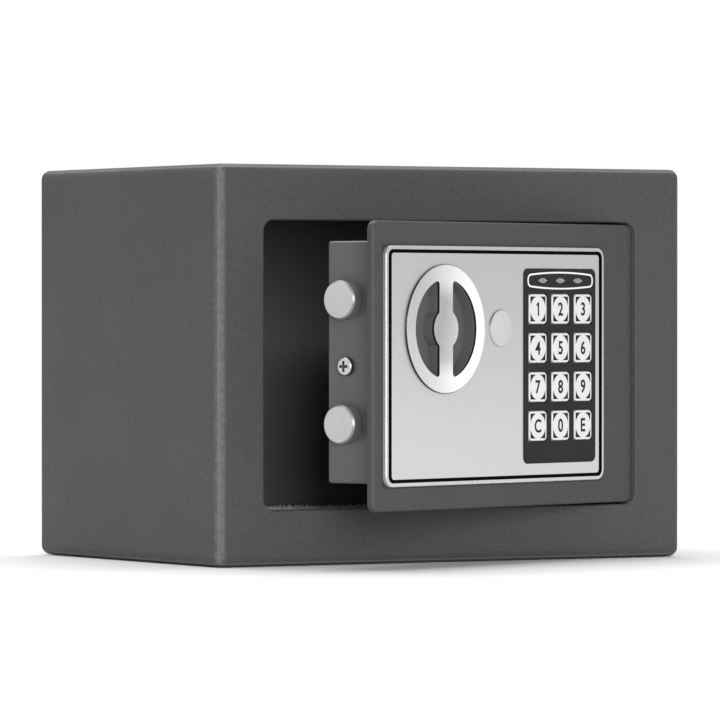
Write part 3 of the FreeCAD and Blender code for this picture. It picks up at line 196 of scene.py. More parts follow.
# %% Haze from hands and dust
handling, given, result = new_group(
    "handling", "ShaderNodeTree",
    [("Vector", VECTOR, None), ("Patch", FLOAT, 0.03)], [("Haze", FLOAT)])
cloud = put(handling, "ShaderNodeTexNoise", {"Vector": given["Vector"],
                                             "Scale": maths(handling, "DIVIDE", 1.0, given["Patch"]),
                                             "Detail": 5.0, "Roughness": 0.6, "Distortion": 0.4})
handling.links.new(ramp(handling, cloud.outputs["Fac"], 0.3, 0.7), result["Haze"])
print("group handling:", len(handling.nodes), "nodes")

# %% Shade where one plate lies on another
seat_shade, given, result = new_group(
    "seat_shade", "ShaderNodeTree",
    [("Vector", VECTOR, None), ("Middle", VECTOR, (0, 0, 0)), ("Half", VECTOR, (0.1, 0.1, 0.1)),
     ("Width", FLOAT, 0.001)], [("Mask", FLOAT)])
offset = vectors(seat_shade, "SUBTRACT", given["Vector"], given["Middle"])
beyond = vectors(seat_shade, "SUBTRACT", vectors(seat_shade, "ABSOLUTE", offset), given["Half"])
side = put(seat_shade, "ShaderNodeSeparateXYZ", {0: beyond}).outputs
apart = maths(seat_shade, "DIVIDE", maths(seat_shade, "MAXIMUM", side[0], side[2]), given["Width"])
seat_shade.links.new(ramp(seat_shade, apart, 1.0, 0.0), result["Mask"])
print("group seat_shade:", len(seat_shade.nodes), "nodes")

# %% Lines left by a brush or a lathe
tool_lines, given, result = new_group(
    "tool_lines", "ShaderNodeTree",
    [("Vector", VECTOR, None), ("Spread", VECTOR, (40, 40, 4000))], [("Height", FLOAT)])
drawn = vectors(tool_lines, "MULTIPLY", given["Vector"], given["Spread"])
lines = put(tool_lines, "ShaderNodeTexNoise", {"Vector": drawn, "Scale": 1.0, "Detail": 3.0})
tool_lines.links.new(lines.outputs["Fac"], result["Height"])
print("group tool_lines:", len(tool_lines.nodes), "nodes")

# %% [markdown]
# ## Starting a finish
# Every finish starts the same way: a Principled shader, and Object coordinates, because each piece
# sits at the origin with its place in its mesh. A Mapping node turns the coordinates of anything on
# the door back to the shut door, so that brushed lines and edge masks stay square to it.

# %% Helpers for finishes
back_turn = Matrix.Rotation(-REST_ANGLE, 4, "Z")
door_shift = HINGE - back_turn @ HINGE


def start_finish(name, on_door=True, **constants):
    """A new material: itself, its tree, its shader and where a point of the piece is."""
    material = bpy.data.materials.new(name)
    material.use_nodes = True
    tree = material.node_tree
    shader = tree.nodes["Principled BSDF"]
    for socket, value in constants.items():
        shader.inputs[socket.replace("_", " ")].default_value = value
    place = put(tree, "ShaderNodeTexCoord").outputs["Object"]
    if on_door:
        place = put(tree, "ShaderNodeMapping", {"Vector": place, "Location": door_shift,
                                                "Rotation": (0, 0, -REST_ANGLE)}).outputs[0]
    return material, tree, shader, place


def place_group(tree, group, inputs):
    return put(tree, "ShaderNodeGroup", inputs, node_tree=group).outputs


def colour(tree, shader, share, first, second):
    """Base colour that runs between two greys or colours."""
    made = mix_colours(tree, share, (*first, 1), (*second, 1))
    tree.links.new(made, shader.inputs["Base Color"])


def gloss(tree, shader, share, low, high):
    tree.links.new(ramp(tree, share, 0.0, 1.0, low, high), shader.inputs["Roughness"])


def relief(tree, shader, height, depth, strength=1.0):
    bump = put(tree, "ShaderNodeBump", {"Height": height, "Distance": depth, "Strength": strength})
    tree.links.new(bump.outputs[0], shader.inputs["Normal"])


def squareness(tree, direction):
    """How squarely the surface faces along a direction: 1 square on, 0 edge on."""
    facing = put(tree, "ShaderNodeTexCoord").outputs["Normal"]
    dot = put(tree, "ShaderNodeVectorMath", {0: facing, 1: direction}, operation="DOT_PRODUCT")
    return dot.outputs["Value"]


def paint_shade(material, share, tone):
    """Lays a plain grey as painted shade, without metal or clear coat, over a finish where the share says so.
    """
    tree, shader = material.node_tree, material.node_tree.nodes["Principled BSDF"]
    under = shader.inputs["Base Color"].links[0].from_socket
    tree.links.new(mix_colours(tree, share, under, (*grey(tone), 1)), shader.inputs["Base Color"])
    for name in ("Metallic", "Coat Weight"):
        full = shader.inputs[name].default_value
        tree.links.new(ramp(tree, share, 0.0, 1.0, full, 0.0), shader.inputs[name])


def grey(level, warmth=0.0):
    return (level * (1 + warmth), level, level * (1 - warmth))


def dress(material, *nodes):
    """Puts a finish on CAD nodes, which keep their shape."""
    for name in nodes:
        for slot in frame["nodes"][name].material_slots:
            slot.material = material
    print("%s on %s" % (material.name, ", ".join(nodes)))


# %% [markdown]
# ## Powder coat
# The case and the door are sheet steel with a dark grey powder coat. Up close it is an orange peel
# of soft pebbles about a millimetre across, with a faint fleck. The upright front edge on the left
# gets a painted highlight, a paler band in the colour. That edge lies on one box for the case and on
# another for the door, so the same recipe is cooked twice, each time with its own box.

# %% Case and door paint
SEAT_WIDTH = 0.0012
INSIDE_LIGHT_FROM = 0.0006, 0.0012  # how deep in the sheet the painted light on the inside begins


def powder_coat(name, on_door, low, high, rub_width, tone, highlight_tone):
    material, tree, shader, place = start_finish(name, on_door, Specular_IOR_Level=0.2)
    grain = place_group(tree, skin_grain, {"Vector": place, "Size": 0.0013})
    edges = place_group(tree, edge_rub, {"Vector": place, "Middle": (low + high) / 2,
                                         "Half": (high - low) / 2, "Width": rub_width})
    haze = place_group(tree, handling, {"Vector": place, "Patch": 0.06})["Haze"]
    flecked = mix_colours(tree, grain["Fleck"], (*grey(tone * 0.86), 1), (*grey(tone * 1.14), 1))
    hazed = mix_colours(tree, maths(tree, "MULTIPLY", haze, 0.25), flecked, (*grey(tone * 1.2), 1))
    # painted highlight: a paler band along the upright front edge, standing in for light on the bend
    made = mix_colours(tree, maths(tree, "MULTIPLY", edges["Mask"], 0.75), hazed, (*grey(highlight_tone), 1))
    if on_door:
        seat = place_group(tree, seat_shade,
                           {"Vector": place, "Middle": (fascia_low + fascia_high) / 2,
                            "Half": (fascia_high - fascia_low) / 2, "Width": SEAT_WIDTH})["Mask"]
        made = mix_colours(tree, maths(tree, "MULTIPLY", seat, 0.6), made, (*grey(tone * 0.25), 1))
    else:
        # painted light: the inner faces of the case are made paler against the shade inside the case
        inside_light = ramp(tree, edges["Depth"], *INSIDE_LIGHT_FROM, 0.0, 0.8)
        made = mix_colours(tree, inside_light, made, (*grey(tone * 2.5), 1))
    tree.links.new(made, shader.inputs["Base Color"])
    gloss(tree, shader, haze, 0.42, 0.52)
    relief(tree, shader, grain["Height"], 0.0002, 0.55)
    return material


CASE_SHEETS = "body_wrap", "front_frame", "back_panel"
case_low = Vector(min(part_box(n)[0][i] for n in CASE_SHEETS) for i in range(3))
case_high = Vector(max(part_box(n)[1][i] for n in CASE_SHEETS) for i in range(3))
dress(powder_coat("case_powder_coat", False, case_low, case_high, rub_width=0.0048, tone=0.067, highlight_tone=0.19),
      *CASE_SHEETS)
dress(powder_coat("door_powder_coat", True, *shut_box("door_panel"), rub_width=0.0016, tone=0.060,
                  highlight_tone=0.085), "door_panel")

# %% [markdown]
# ## Lock cover and hinge lugs
# The folded cover behind the door has a smoother, thinner coat than the case. Its sheet shows soft
# waves from the brake press rather than pebbles, so the same grain group runs at a larger size and
# with less depth.

# %% Smooth paint
material, tree, shader, place = start_finish("cover_smooth_paint", Specular_IOR_Level=0.55)
grain = place_group(tree, skin_grain, {"Vector": place, "Size": 0.0032})
haze = place_group(tree, handling, {"Vector": place, "Patch": 0.035})["Haze"]
cover_low, cover_high = shut_box("lock_cover")
# painted highlight: a paler band along the cover's upright front edge
cover_highlight = place_group(tree, edge_rub, {"Vector": place, "Middle": (cover_low + cover_high) / 2,
                                   "Half": (cover_high - cover_low) / 2, "Width": 0.0016})["Mask"]
painted = mix_colours(tree, haze, (*grey(0.078, -0.01), 1), (*grey(0.092, -0.01), 1))
highlighted = mix_colours(tree, maths(tree, "MULTIPLY", cover_highlight, 0.4), painted, (*grey(0.16), 1))
tree.links.new(highlighted, shader.inputs["Base Color"])
gloss(tree, shader, haze, 0.33, 0.43)
relief(tree, shader, grain["Height"], 0.00007, 0.4)
dress(material, "lock_cover", "cover_brackets", "hinge_lugs")

# %% [markdown]
# ## Silver lacquer
# The fascia, the knob and the keyhole cap are moulded plastic under a silver lacquer: half metal,
# half paint. Tiny flakes make the gloss sparkle a little, and a painted gradient of light makes the
# tone paler towards the bottom of the fascia, and on the knob and the cap runs outwards, downwards and
# to the right. A fully metallic shader would turn it into polished steel, so Metallic stays between
# the two. The upright walls of the knob and the cap are painted dark as painted shade, which draws a
# thin dark line round each finger well.

# %% Fascia, knob and cap
def silver_lacquer(name, darker, paler, low_gloss, high_gloss, metal, coat, middle=None, reach=None):
    """Silver paint with painted light: paler downwards, or, given a middle, also outwards and to the right of
    it.
    """
    material, tree, shader, place = start_finish(name, Metallic=metal, Coat_Weight=coat, Coat_Roughness=0.25)
    grain = place_group(tree, skin_grain, {"Vector": place, "Size": 0.0005})
    haze = place_group(tree, handling, {"Vector": place, "Patch": 0.025})["Haze"]
    spot = put(tree, "ShaderNodeSeparateXYZ", {0: place}).outputs
    # painted light in the colour: a gradient down the fascia, or about a middle on the knob and cap
    if middle is None:
        painted_light_drift = ramp(tree, spot["Z"], fascia_high.z, fascia_low.z)
    else:
        flat = vectors(tree, "MULTIPLY", vectors(tree, "SUBTRACT", place, middle), (1, 0, 1))
        radius = put(tree, "ShaderNodeVectorMath", {0: flat}, operation="LENGTH").outputs["Value"]
        lower = ramp(tree, spot["Z"], middle.z + reach[1], middle.z - reach[1], 0.0, 0.2)
        rightward = ramp(tree, spot["X"], middle.x - reach[1], middle.x + reach[1], -0.4, 0.4)
        outward = ramp(tree, radius, reach[0], reach[1], 0.0, 0.55)
        painted_light_drift = maths(tree, "ADD", outward, maths(tree, "ADD", lower, rightward), clamp=True)
    base = mix_colours(tree, painted_light_drift, (*grey(darker), 1), (*grey(paler, 0.006), 1))
    flaked = mix_colours(tree, maths(tree, "MULTIPLY", grain["Fleck"], 0.08), base, (*grey(0.9), 1))
    tree.links.new(flaked, shader.inputs["Base Color"])
    gloss(tree, shader, haze, low_gloss, high_gloss)
    relief(tree, shader, grain["Height"], 0.00002, 0.25)
    return material


def across(low, high):
    return (low + high) / 2


dress(silver_lacquer("fascia_silver", 0.465, 0.60, 0.32, 0.40, metal=0.45, coat=0.15), "fascia_plate")
dress(silver_lacquer("rim_silver", 0.45, 0.58, 0.26, 0.32, metal=0.5, coat=0.2), "fascia_frame")

# %% Knob and cap, with painted shade on their walls
OUTWARD = SWING.to_3x3() @ Vector((0, -1, 0))
KNOB_REACH, CAP_REACH = (0.011, 0.021), (0.0, 0.009)  # radii between which the painted light changes
knob_silver = silver_lacquer("knob_silver", 0.38, 0.98, 0.22, 0.30, 0.5, 0.35, across(*shut_box("knob_face")),
                             KNOB_REACH)
# painted shade: the knob's upright walls are laid over with a near-black grey
shaded_walls = ramp(knob_silver.node_tree, squareness(knob_silver.node_tree, OUTWARD), 0.9, 0.7)
paint_shade(knob_silver, shaded_walls, 0.006)
dress(knob_silver, "knob_face")
cap_silver = silver_lacquer("cap_silver", 0.61, 0.54, 0.26, 0.34, 0.5, 0.25, across(*shut_box("keyhole_cap")),
                            CAP_REACH)
tree = cap_silver.node_tree
# painted shade: the cap's upright wall turns dark grey, darkest where it faces up, as a shadow arc along its
# top
cap_shaded_wall = ramp(tree, squareness(tree, OUTWARD), 0.95, 0.8)
top_shadow = ramp(tree, squareness(tree, (0, 0, 1)), -0.2, 0.5, 0.35, 1.0)
paint_shade(cap_silver, maths(tree, "MULTIPLY", cap_shaded_wall, top_shadow), 0.10)
dress(cap_silver, "keyhole_cap")

# %% [markdown]
# ## Black and grey mouldings
# The keypad, the trim line, the battery tray and the knob's cup are moulded plastic with a fine
# spark-eroded grain from the mould. They differ in tone and in how much of the room they mirror:
# the pad and the trim line are kept dull, or a white room would turn them grey.

# %% Moulded plastics
def moulded(name, dark, light, grain_size, low_gloss, high_gloss, on_door=True, depth=0.00005, **constants):
    material, tree, shader, place = start_finish(name, on_door, **constants)
    grain = place_group(tree, skin_grain, {"Vector": place, "Size": grain_size})
    haze = place_group(tree, handling, {"Vector": place, "Patch": 0.018})["Haze"]
    share = maths(tree, "MULTIPLY", maths(tree, "ADD", grain["Fleck"], haze), 0.5)
    colour(tree, shader, share, dark, light)
    gloss(tree, shader, haze, low_gloss, high_gloss)
    relief(tree, shader, grain["Height"], depth, 0.5)
    return material


dress(moulded("trim_black", grey(0.003), grey(0.006), 0.0008, 0.8, 0.9, Specular_IOR_Level=0.0),
      "fascia_trim")
dress(moulded("keypad_black", grey(0.006), grey(0.011), 0.0006, 0.42, 0.55, Specular_IOR_Level=0.2),
      "keypad_plate")
dress(moulded("black_oxide", grey(0.008), grey(0.014), 0.0009, 0.6, 0.7, Specular_IOR_Level=0.1),
      "hinge_pins", "hinge_bushes")
dress(moulded("tray_black", grey(0.014), grey(0.024), 0.0009, 0.5, 0.6), "battery_tray", "battery_lid",
      "reset_switch")

# %% Grey cup of the knob
dress(moulded("cup_grey", grey(0.10), grey(0.13), 0.0009, 0.5, 0.6, Specular_IOR_Level=0.3), "knob_cup")

# %% [markdown]
# ## Keys, window line and soft inner pieces
# The keys are pale, slightly soft plastic with a satin skin. The line round the indicator window is
# a printed white. The membrane and the board sit inside the door, out of sight, and still get a
# finish of their own in case the door is taken apart.

# %% Pale keys and inner plastics
KEYS = {"key_1": "1", "key_2": "2", "key_3": "3", "key_4": "4", "key_5": "5", "key_6": "6", "key_7": "7",
        "key_8": "8", "key_9": "9", "key_clear": "C", "key_0": "0", "key_enter": "E"}
dress(moulded("key_white", grey(0.74, 0.003), grey(0.78, 0.0), 0.0007, 0.38, 0.48, depth=0.00002), *KEYS)
dress(moulded("window_white", grey(0.86), grey(0.93), 0.0005, 0.45, 0.55), "indicator_window")
dress(moulded("membrane_grey", grey(0.15), grey(0.21), 0.0012, 0.6, 0.75), "keypad_membrane")
dress(moulded("reset_red", (0.34, 0.018, 0.016), (0.46, 0.03, 0.026), 0.0008, 0.35, 0.45), "reset_button")
dress(moulded("cell_sleeve", grey(0.03), grey(0.055), 0.0006, 0.25, 0.32), "battery_cells")
dress(moulded("coil_tape", (0.26, 0.085, 0.03), (0.38, 0.14, 0.05), 0.001, 0.35, 0.5), "solenoid_coil")
dress(moulded("board_green", (0.02, 0.12, 0.045), (0.035, 0.18, 0.075), 0.0018, 0.3, 0.4), "circuit_board")

# %% [markdown]
# ## Plated steel and brass
# Bolts, pins and screws are zinc plated steel: bright, with fine tool lines. The bolts are turned on
# a lathe, so their lines are rings about the bolt's own axis. A distance from that axis, fed into
# the line group, gives rings; stretching the space along the bar gives straight lines elsewhere.

# %% Steel finishes
def plated(name, dark, light, spread, low_gloss, high_gloss, axis=None, on_door=True):
    material, tree, shader, place = start_finish(name, on_door, Metallic=1.0)
    where = place
    if axis is not None:  # rings about a bar along X: distance from the axis takes the place of Z
        apart = vectors(tree, "SUBTRACT", place, (0, *axis))
        part = put(tree, "ShaderNodeSeparateXYZ", {0: apart}).outputs
        radius = maths(tree, "SQRT", maths(tree, "ADD", maths(tree, "MULTIPLY", part[1], part[1]),
                                           maths(tree, "MULTIPLY", part[2], part[2])))
        where = put(tree, "ShaderNodeCombineXYZ", {0: part[0], 1: 0.0, 2: radius}).outputs[0]
    line = place_group(tree, tool_lines, {"Vector": where, "Spread": spread})["Height"]
    haze = place_group(tree, handling, {"Vector": place, "Patch": 0.012})["Haze"]
    share = maths(tree, "ADD", maths(tree, "MULTIPLY", line, 0.6), maths(tree, "MULTIPLY", haze, 0.4))
    colour(tree, shader, share, dark, light)
    gloss(tree, shader, haze, low_gloss, high_gloss)
    relief(tree, shader, line, 0.00002, 0.4)
    return material


for bolt in ("bolt_upper", "bolt_lower"):
    low, high = shut_box(bolt)
    turned = plated(bolt + "_turned_steel", grey(0.47), grey(0.61), (900, 1, 5200), 0.30, 0.40,
                    axis=((low.y + high.y) / 2, (low.z + high.z) / 2))
    # painted shade: the bolt's round side is laid over with dark grey, while its end stays bright
    end_on = squareness(turned.node_tree, SWING.to_3x3() @ Vector((-1, 0, 0)))
    paint_shade(turned, ramp(turned.node_tree, end_on, 0.95, 0.6, 0.0, 0.8), 0.05)
    dress(turned, bolt)
dress(plated("plated_steel", grey(0.46, 0.01), grey(0.62, 0.01), (60, 60, 3000), 0.30, 0.42),
      "bolt_rivets", "bolt_carriage", "guide_posts", "knob_retainer", "crank_screw", "drive_crank",
      "solenoid_frame", "solenoid_plunger", "release_bracket", "fascia_screws", "override_nut")
screw = plated("bright_screw", grey(0.50), grey(0.66), (1500, 1500, 1500), 0.16, 0.24)
head_x = shut_box("cover_screws")[0].x
CROSS_SHADE_FROM = 0.0003, 0.0008  # how far behind the head's face the painted shade in the cross begins
tree = screw.node_tree
# painted shade: the cross recess of the screw head is laid over with near-black
cross_shade = put(tree, "ShaderNodeSeparateXYZ", {0: tree.nodes["Mapping"].outputs[0]}).outputs["X"]
paint_shade(screw, ramp(tree, cross_shade, *(head_x + depth for depth in CROSS_SHADE_FROM)), 0.02)
dress(screw, "cover_screws")
dress(plated("turned_brass", (0.50, 0.36, 0.13), (0.68, 0.52, 0.24), (3000, 60, 60), 0.25, 0.35),
      "override_barrel", "override_plug", "override_cam")

# %% [markdown]
# ## Copies by Geometry Nodes
# Two small trees make what repeats. One turns copies of a drawing about its middle (the four dark
# corners of a key). The other sets copies in a row (the lamps, the ribs on the battery lid). Both
# end by realizing the copies and naming the material, so that the result is a plain mesh.

# %% Trees for turned copies and for rows
turned_copies, given, result = new_group(
    "turned_copies", "GeometryNodeTree",
    [("Shape", "NodeSocketGeometry", None), ("Count", WHOLE, 4), ("Finish", "NodeSocketMaterial", None)],
    [("Copies", "NodeSocketGeometry")])
spots = put(turned_copies, "GeometryNodePoints", {"Count": given["Count"]})
step = maths(turned_copies, "DIVIDE", 2 * math.pi, given["Count"])
angle = maths(turned_copies, "MULTIPLY", put(turned_copies, "GeometryNodeInputIndex").outputs[0], step)
turn = put(turned_copies, "FunctionNodeAxisAngleToRotation", {"Axis": (0, 0, 1), "Angle": angle})
copies = put(turned_copies, "GeometryNodeInstanceOnPoints",
             {"Points": spots.outputs[0], "Instance": given["Shape"], "Rotation": turn.outputs[0]})
plain = put(turned_copies, "GeometryNodeRealizeInstances", {0: copies.outputs[0]})
named = put(turned_copies, "GeometryNodeSetMaterial",
            {"Geometry": plain.outputs[0], "Material": given["Finish"]})
turned_copies.links.new(named.outputs[0], result["Copies"])

row_of_copies, given, result = new_group(
    "row_of_copies", "GeometryNodeTree",
    [("Shape", "NodeSocketGeometry", None), ("Count", WHOLE, 3), ("Step", VECTOR, (0.01, 0, 0)),
     ("Finish", "NodeSocketMaterial", None)], [("Copies", "NodeSocketGeometry")])
gaps = maths(row_of_copies, "SUBTRACT", given["Count"], 1.0)
half_row = put(row_of_copies, "ShaderNodeVectorMath",
               {0: given["Step"], "Scale": maths(row_of_copies, "MULTIPLY", gaps, -0.5)}, operation="SCALE")
spots = put(row_of_copies, "GeometryNodeMeshLine",
            {"Count": given["Count"], "Start Location": half_row.outputs[0], "Offset": given["Step"]},
            mode="OFFSET")
copies = put(row_of_copies, "GeometryNodeInstanceOnPoints",
             {"Points": spots.outputs[0], "Instance": given["Shape"]})
plain = put(row_of_copies, "GeometryNodeRealizeInstances", {0: copies.outputs[0]})
named = put(row_of_copies, "GeometryNodeSetMaterial",
            {"Geometry": plain.outputs[0], "Material": given["Finish"]})
row_of_copies.links.new(named.outputs[0], result["Copies"])


def grown(name, mesh, tree, **values):
    """The plain mesh that a Geometry Nodes tree makes from a mesh, with its inputs set by identifier."""
    holder = bpy.data.objects.new(name, mesh)
    scene.collection.objects.link(holder)
    modifier = holder.modifiers.new(name, "NODES")
    modifier.node_group = tree
    for item in tree.interface.items_tree:
        if item.item_type == "SOCKET" and item.in_out == "INPUT" and item.name.replace(" ", "_") in values:
            modifier[item.identifier] = values[item.name.replace(" ", "_")]
    ready = bpy.context.evaluated_depsgraph_get()
    made = bpy.data.meshes.new_from_object(holder.evaluated_get(ready), depsgraph=ready)
    holder.modifiers.clear()
    bpy.data.objects.remove(holder)
    return made


print("trees:", turned_copies.name, row_of_copies.name)

# %% [markdown]
# ## Figures and corners of the keys
# Each key is a pale square with a raised round middle, a printed figure on it, and a black inlay in
# each of its four sunk corners. The inlay's outline is two straight sides and an arc, drawn once
# and turned into four. A figure is made from text: it becomes a mesh first, is scaled to a height,
# and then goes to its key. Figure and corners are one piece that presses down with its key.

# %% Drawing tools
def mesh_from(name, points, faces):
    mesh = bpy.data.meshes.new(name)
    mesh.from_pydata(points, [], faces)
    mesh.update()
    return mesh


def slab(name, outline, low, high):
    """A thin closed plate with that outline, in order anticlockwise, between two heights."""
    count = len(outline)
    points = [(x, y, low) for x, y in outline] + [(x, y, high) for x, y in outline]
    sides = [(i, (i + 1) % count, count + (i + 1) % count, count + i) for i in range(count)]
    return mesh_from(name, points, sides + [tuple(range(count))[::-1], tuple(range(count, 2 * count))])


def figure(text, tall, low, high, weight):
    """A printed figure as a flat closed mesh, centred, of that height."""
    curve = bpy.data.curves.new("figure_" + text, "FONT")
    curve.body, curve.size, curve.resolution_u = text, 1.0, 6
    curve.offset, curve.extrude = weight, 0.5
    holder = bpy.data.objects.new("figure_" + text, curve)
    scene.collection.objects.link(holder)
    ready = bpy.context.evaluated_depsgraph_get()
    mesh = bpy.data.meshes.new_from_object(holder.evaluated_get(ready), depsgraph=ready)
    bpy.data.objects.remove(holder)
    xs, ys = [v.co.x for v in mesh.vertices], [v.co.y for v in mesh.vertices]
    scale = tall / (max(ys) - min(ys))
    middle = Vector(((max(xs) + min(xs)) / 2, (max(ys) + min(ys)) / 2, 0))
    for v in mesh.vertices:
        flat = (v.co - middle) * scale
        v.co = (flat.x * 0.94, flat.y, high if v.co.z > 0 else low)
    return mesh


def piece(name, meshes, place, body, finish):
    """Joins meshes, moves them to their place and sets the piece on its body."""
    joined = bmesh.new()
    for mesh in meshes:
        joined.from_mesh(mesh)
    bmesh.ops.remove_doubles(joined, verts=joined.verts, dist=1e-7)
    bmesh.ops.recalc_face_normals(joined, faces=joined.faces)
    bmesh.ops.transform(joined, matrix=place, verts=joined.verts)
    mesh = bpy.data.meshes.new(name)
    joined.to_mesh(mesh)
    joined.free()
    for face in mesh.polygons:
        face.material_index = 0
    mesh.materials.clear()
    mesh.materials.append(finish)
    made = bpy.data.objects.new(name, mesh)
    scene.collection.objects.link(made)
    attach(made, body)
    return made


# %% Print the keys
KEY_WIDTH, KEY_RECESS, KEY_BORDER, DISC_RADIUS, INLAY_PLAY = 0.0125, 0.0005, 0.0009, 0.0054, 0.00005
FIGURE_TALL, FIGURE_WEIGHT, PRINT_LOW, PRINT_HIGH = 0.0058, 0.022, -0.00002, 0.00005
INLAY_RISE = 0.00004
key_print = moulded("key_print", grey(0.004), grey(0.008), 0.0006, 0.4, 0.5, Specular_IOR_Level=0.2)
for key, text in KEYS.items():
    low, high = shut_box(key)
    inner = KEY_WIDTH / 2 - KEY_BORDER - INLAY_PLAY
    arc = DISC_RADIUS + INLAY_PLAY
    start = math.acos(inner / arc)
    bow = [(arc * math.cos(a), arc * math.sin(a))
           for a in (start + (math.pi / 2 - 2 * start) * i / 10 for i in range(11))]
    corner = slab(key + "_corner", [(inner, inner)] + bow[::-1], -KEY_RECESS - INLAY_RISE, INLAY_RISE)
    corners = grown(key + "_corners", corner, turned_copies, Count=4, Finish=key_print)
    place = SWING @ Matrix.Translation(((low.x + high.x) / 2, low.y, (low.z + high.z) / 2)) @ FACING
    if text == "1":  # the built-in font draws a bare bar, so a one with a flag is drawn here
        strokes = [(0.09, 0), (0.25, 0), (0.25, 1), (0.13, 1), (-0.06, 0.84), (-0.06, 0.68), (0.09, 0.78)]
        points = [((x - 0.12) * FIGURE_TALL, (y - 0.5) * FIGURE_TALL) for x, y in strokes]
        drawn = slab("figure_1", points, PRINT_LOW, PRINT_HIGH)
    else:
        drawn = figure(text, FIGURE_TALL, PRINT_LOW, PRINT_HIGH, FIGURE_WEIGHT)
    marks = piece(key + "_print", [corners, drawn], place, key, key_print)
print("prints:", len(KEYS), "keys, last one", len(marks.data.polygons), "faces")

# %% [markdown]
# ## Indicator lamps
# Three small lenses sit in the window above the keys, each pointed at both ends like an almond,
# with a pale rim and a smoked middle. The almond is two arcs; rings of it at different sizes and
# lifts give the rim and the dome. The row tree makes three of each.

# %% Almond rings
def almond(length, tall, count=28):
    """Points of an almond outline, anticlockwise."""
    radius = (length ** 2 / 4 + tall ** 2 / 4) / tall
    reach = math.asin(length / 2 / radius)
    top = [(radius * math.sin(reach - 2 * reach * i / count), radius * math.cos(reach - 2 * reach * i / count)
            - radius + tall / 2) for i in range(count)]
    return top + [(-x, -y) for x, y in top]


def ringed(name, outline, profile, closed):
    """Rings of an outline, each with its own scale and lift; the last is capped, or meets the first."""
    count = len(outline)
    points = [(x * scale, y * scale, lift) for scale, lift in profile for x, y in outline]
    faces = []
    for ring in range(len(profile) if closed else len(profile) - 1):
        a, b = ring * count, (ring + 1) % len(profile) * count
        faces += [(a + i, a + (i + 1) % count, b + (i + 1) % count, b + i) for i in range(count)]
    if not closed:
        faces += [tuple(range(count))[::-1], tuple(range(len(points) - count, len(points)))]
    return mesh_from(name, points, faces)


lamp_low, lamp_high = shut_box("indicator_lamps")
LAMP_LENGTH, LAMP_TALL, LAMP_STEP = 0.0064, 0.0021, (0.0127, 0, 0)
LAMP_SINK, FINS_PER_STEP = 0.00015, 12
lamp_place = SWING @ Matrix.Translation(((lamp_low.x + lamp_high.x) / 2, lamp_low.y + LAMP_SINK,
                                         (lamp_low.z + lamp_high.z) / 2)) @ FACING
lamp_rim = moulded("lamp_rim", grey(0.30), grey(0.42), 0.0005, 0.35, 0.45)
lamp_smoke, tree, shader, place = start_finish("lamp_smoke", Roughness=0.2)
across_lens = maths(tree, "MULTIPLY", put(tree, "ShaderNodeSeparateXYZ", {0: place}).outputs["X"],
                    2 * math.pi * FINS_PER_STEP / LAMP_STEP[0])
fins = ramp(tree, maths(tree, "SINE", across_lens), -0.4, 0.4)
colour(tree, shader, fins, grey(0.03), grey(0.45))
outline = almond(LAMP_LENGTH, LAMP_TALL)
RIM_PROFILE = [(1.0, -0.0001), (0.97, 0.0002), (0.82, 0.00024), (0.70, 0.0001), (0.70, -0.0001)]
LENS_PROFILE = [(0.72, -0.0003), (0.72, 0.00006), (0.5, 0.00020), (0.2, 0.00026)]
rim = ringed("lamp_rim", outline, RIM_PROFILE, True)
lens = ringed("lamp_lens", outline, LENS_PROFILE, False)
rims = piece("lamp_rims", [grown("lamp_rims", rim, row_of_copies, Count=3, Step=LAMP_STEP, Finish=lamp_rim)],
             lamp_place, "door", lamp_rim)
lenses = piece("lamp_lenses", [grown("lamp_lenses", lens, row_of_copies, Count=3, Step=LAMP_STEP,
                                     Finish=lamp_smoke)], lamp_place, "door", lamp_smoke)
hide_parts("indicator_lamps")
print("lamps:", len(rims.data.polygons) + len(lenses.data.polygons), "faces")

# %% [markdown]
# ## Grip ribs on the battery lid
# The lid on the back of the lock cover is pulled off with a thumb, so it has a patch of low ribs.
# One rib with rounded ends goes through the row tree. It rides on the lid, so it comes off with it.

# %% Ribs
lid_low, lid_high = shut_box("battery_lid")
RIB_LENGTH, RIB_WIDTH, RIB_RISE, RIB_STEP, RIB_COUNT = 0.022, 0.0011, 0.0006, 0.0022, 7
RIBS_DOWN = 0.014  # from the lid's top to the middle of the patch
half = RIB_LENGTH / 2 - RIB_WIDTH / 2
pill = [(half + RIB_WIDTH / 2 * math.cos(a), RIB_WIDTH / 2 * math.sin(a))
        for a in (-math.pi / 2 + math.pi * i / 8 for i in range(9))]
pill += [(-x, -y) for x, y in pill]
rib = ringed("lid_rib", pill, [(1.0, -0.0002), (1.0, RIB_RISE * 0.6), (0.97, RIB_RISE)], False)
BACKING = Matrix.Rotation(math.radians(180), 4, "Z") @ FACING  # a flat drawing facing into the safe
patch = Vector(((lid_low.x + lid_high.x) / 2, lid_high.y, lid_high.z - RIBS_DOWN))
rib_place = SWING @ Matrix.Translation(patch) @ BACKING
lid_finish = frame["nodes"]["battery_lid"].material_slots[0].material
rib_row = grown("lid_ribs", rib, row_of_copies, Count=RIB_COUNT, Step=(0, RIB_STEP, 0), Finish=lid_finish)
piece("lid_ribs", [rib_row], rib_place, "battery_lid", lid_finish)
print("lid ribs:", RIB_COUNT)

# %% [markdown]
# ## Carpet on the floor
# The floor is lined with a board under a short, speckled grey carpet, and a strip of it shows over
# the sill. The board's solid is copied, remeshed evenly, and its top is let down a little and made
# uneven. Geometry Nodes then plant a small leaning tuft wherever the surface faces up. Real hair
# would be finer, but it would not survive an export as a mesh.

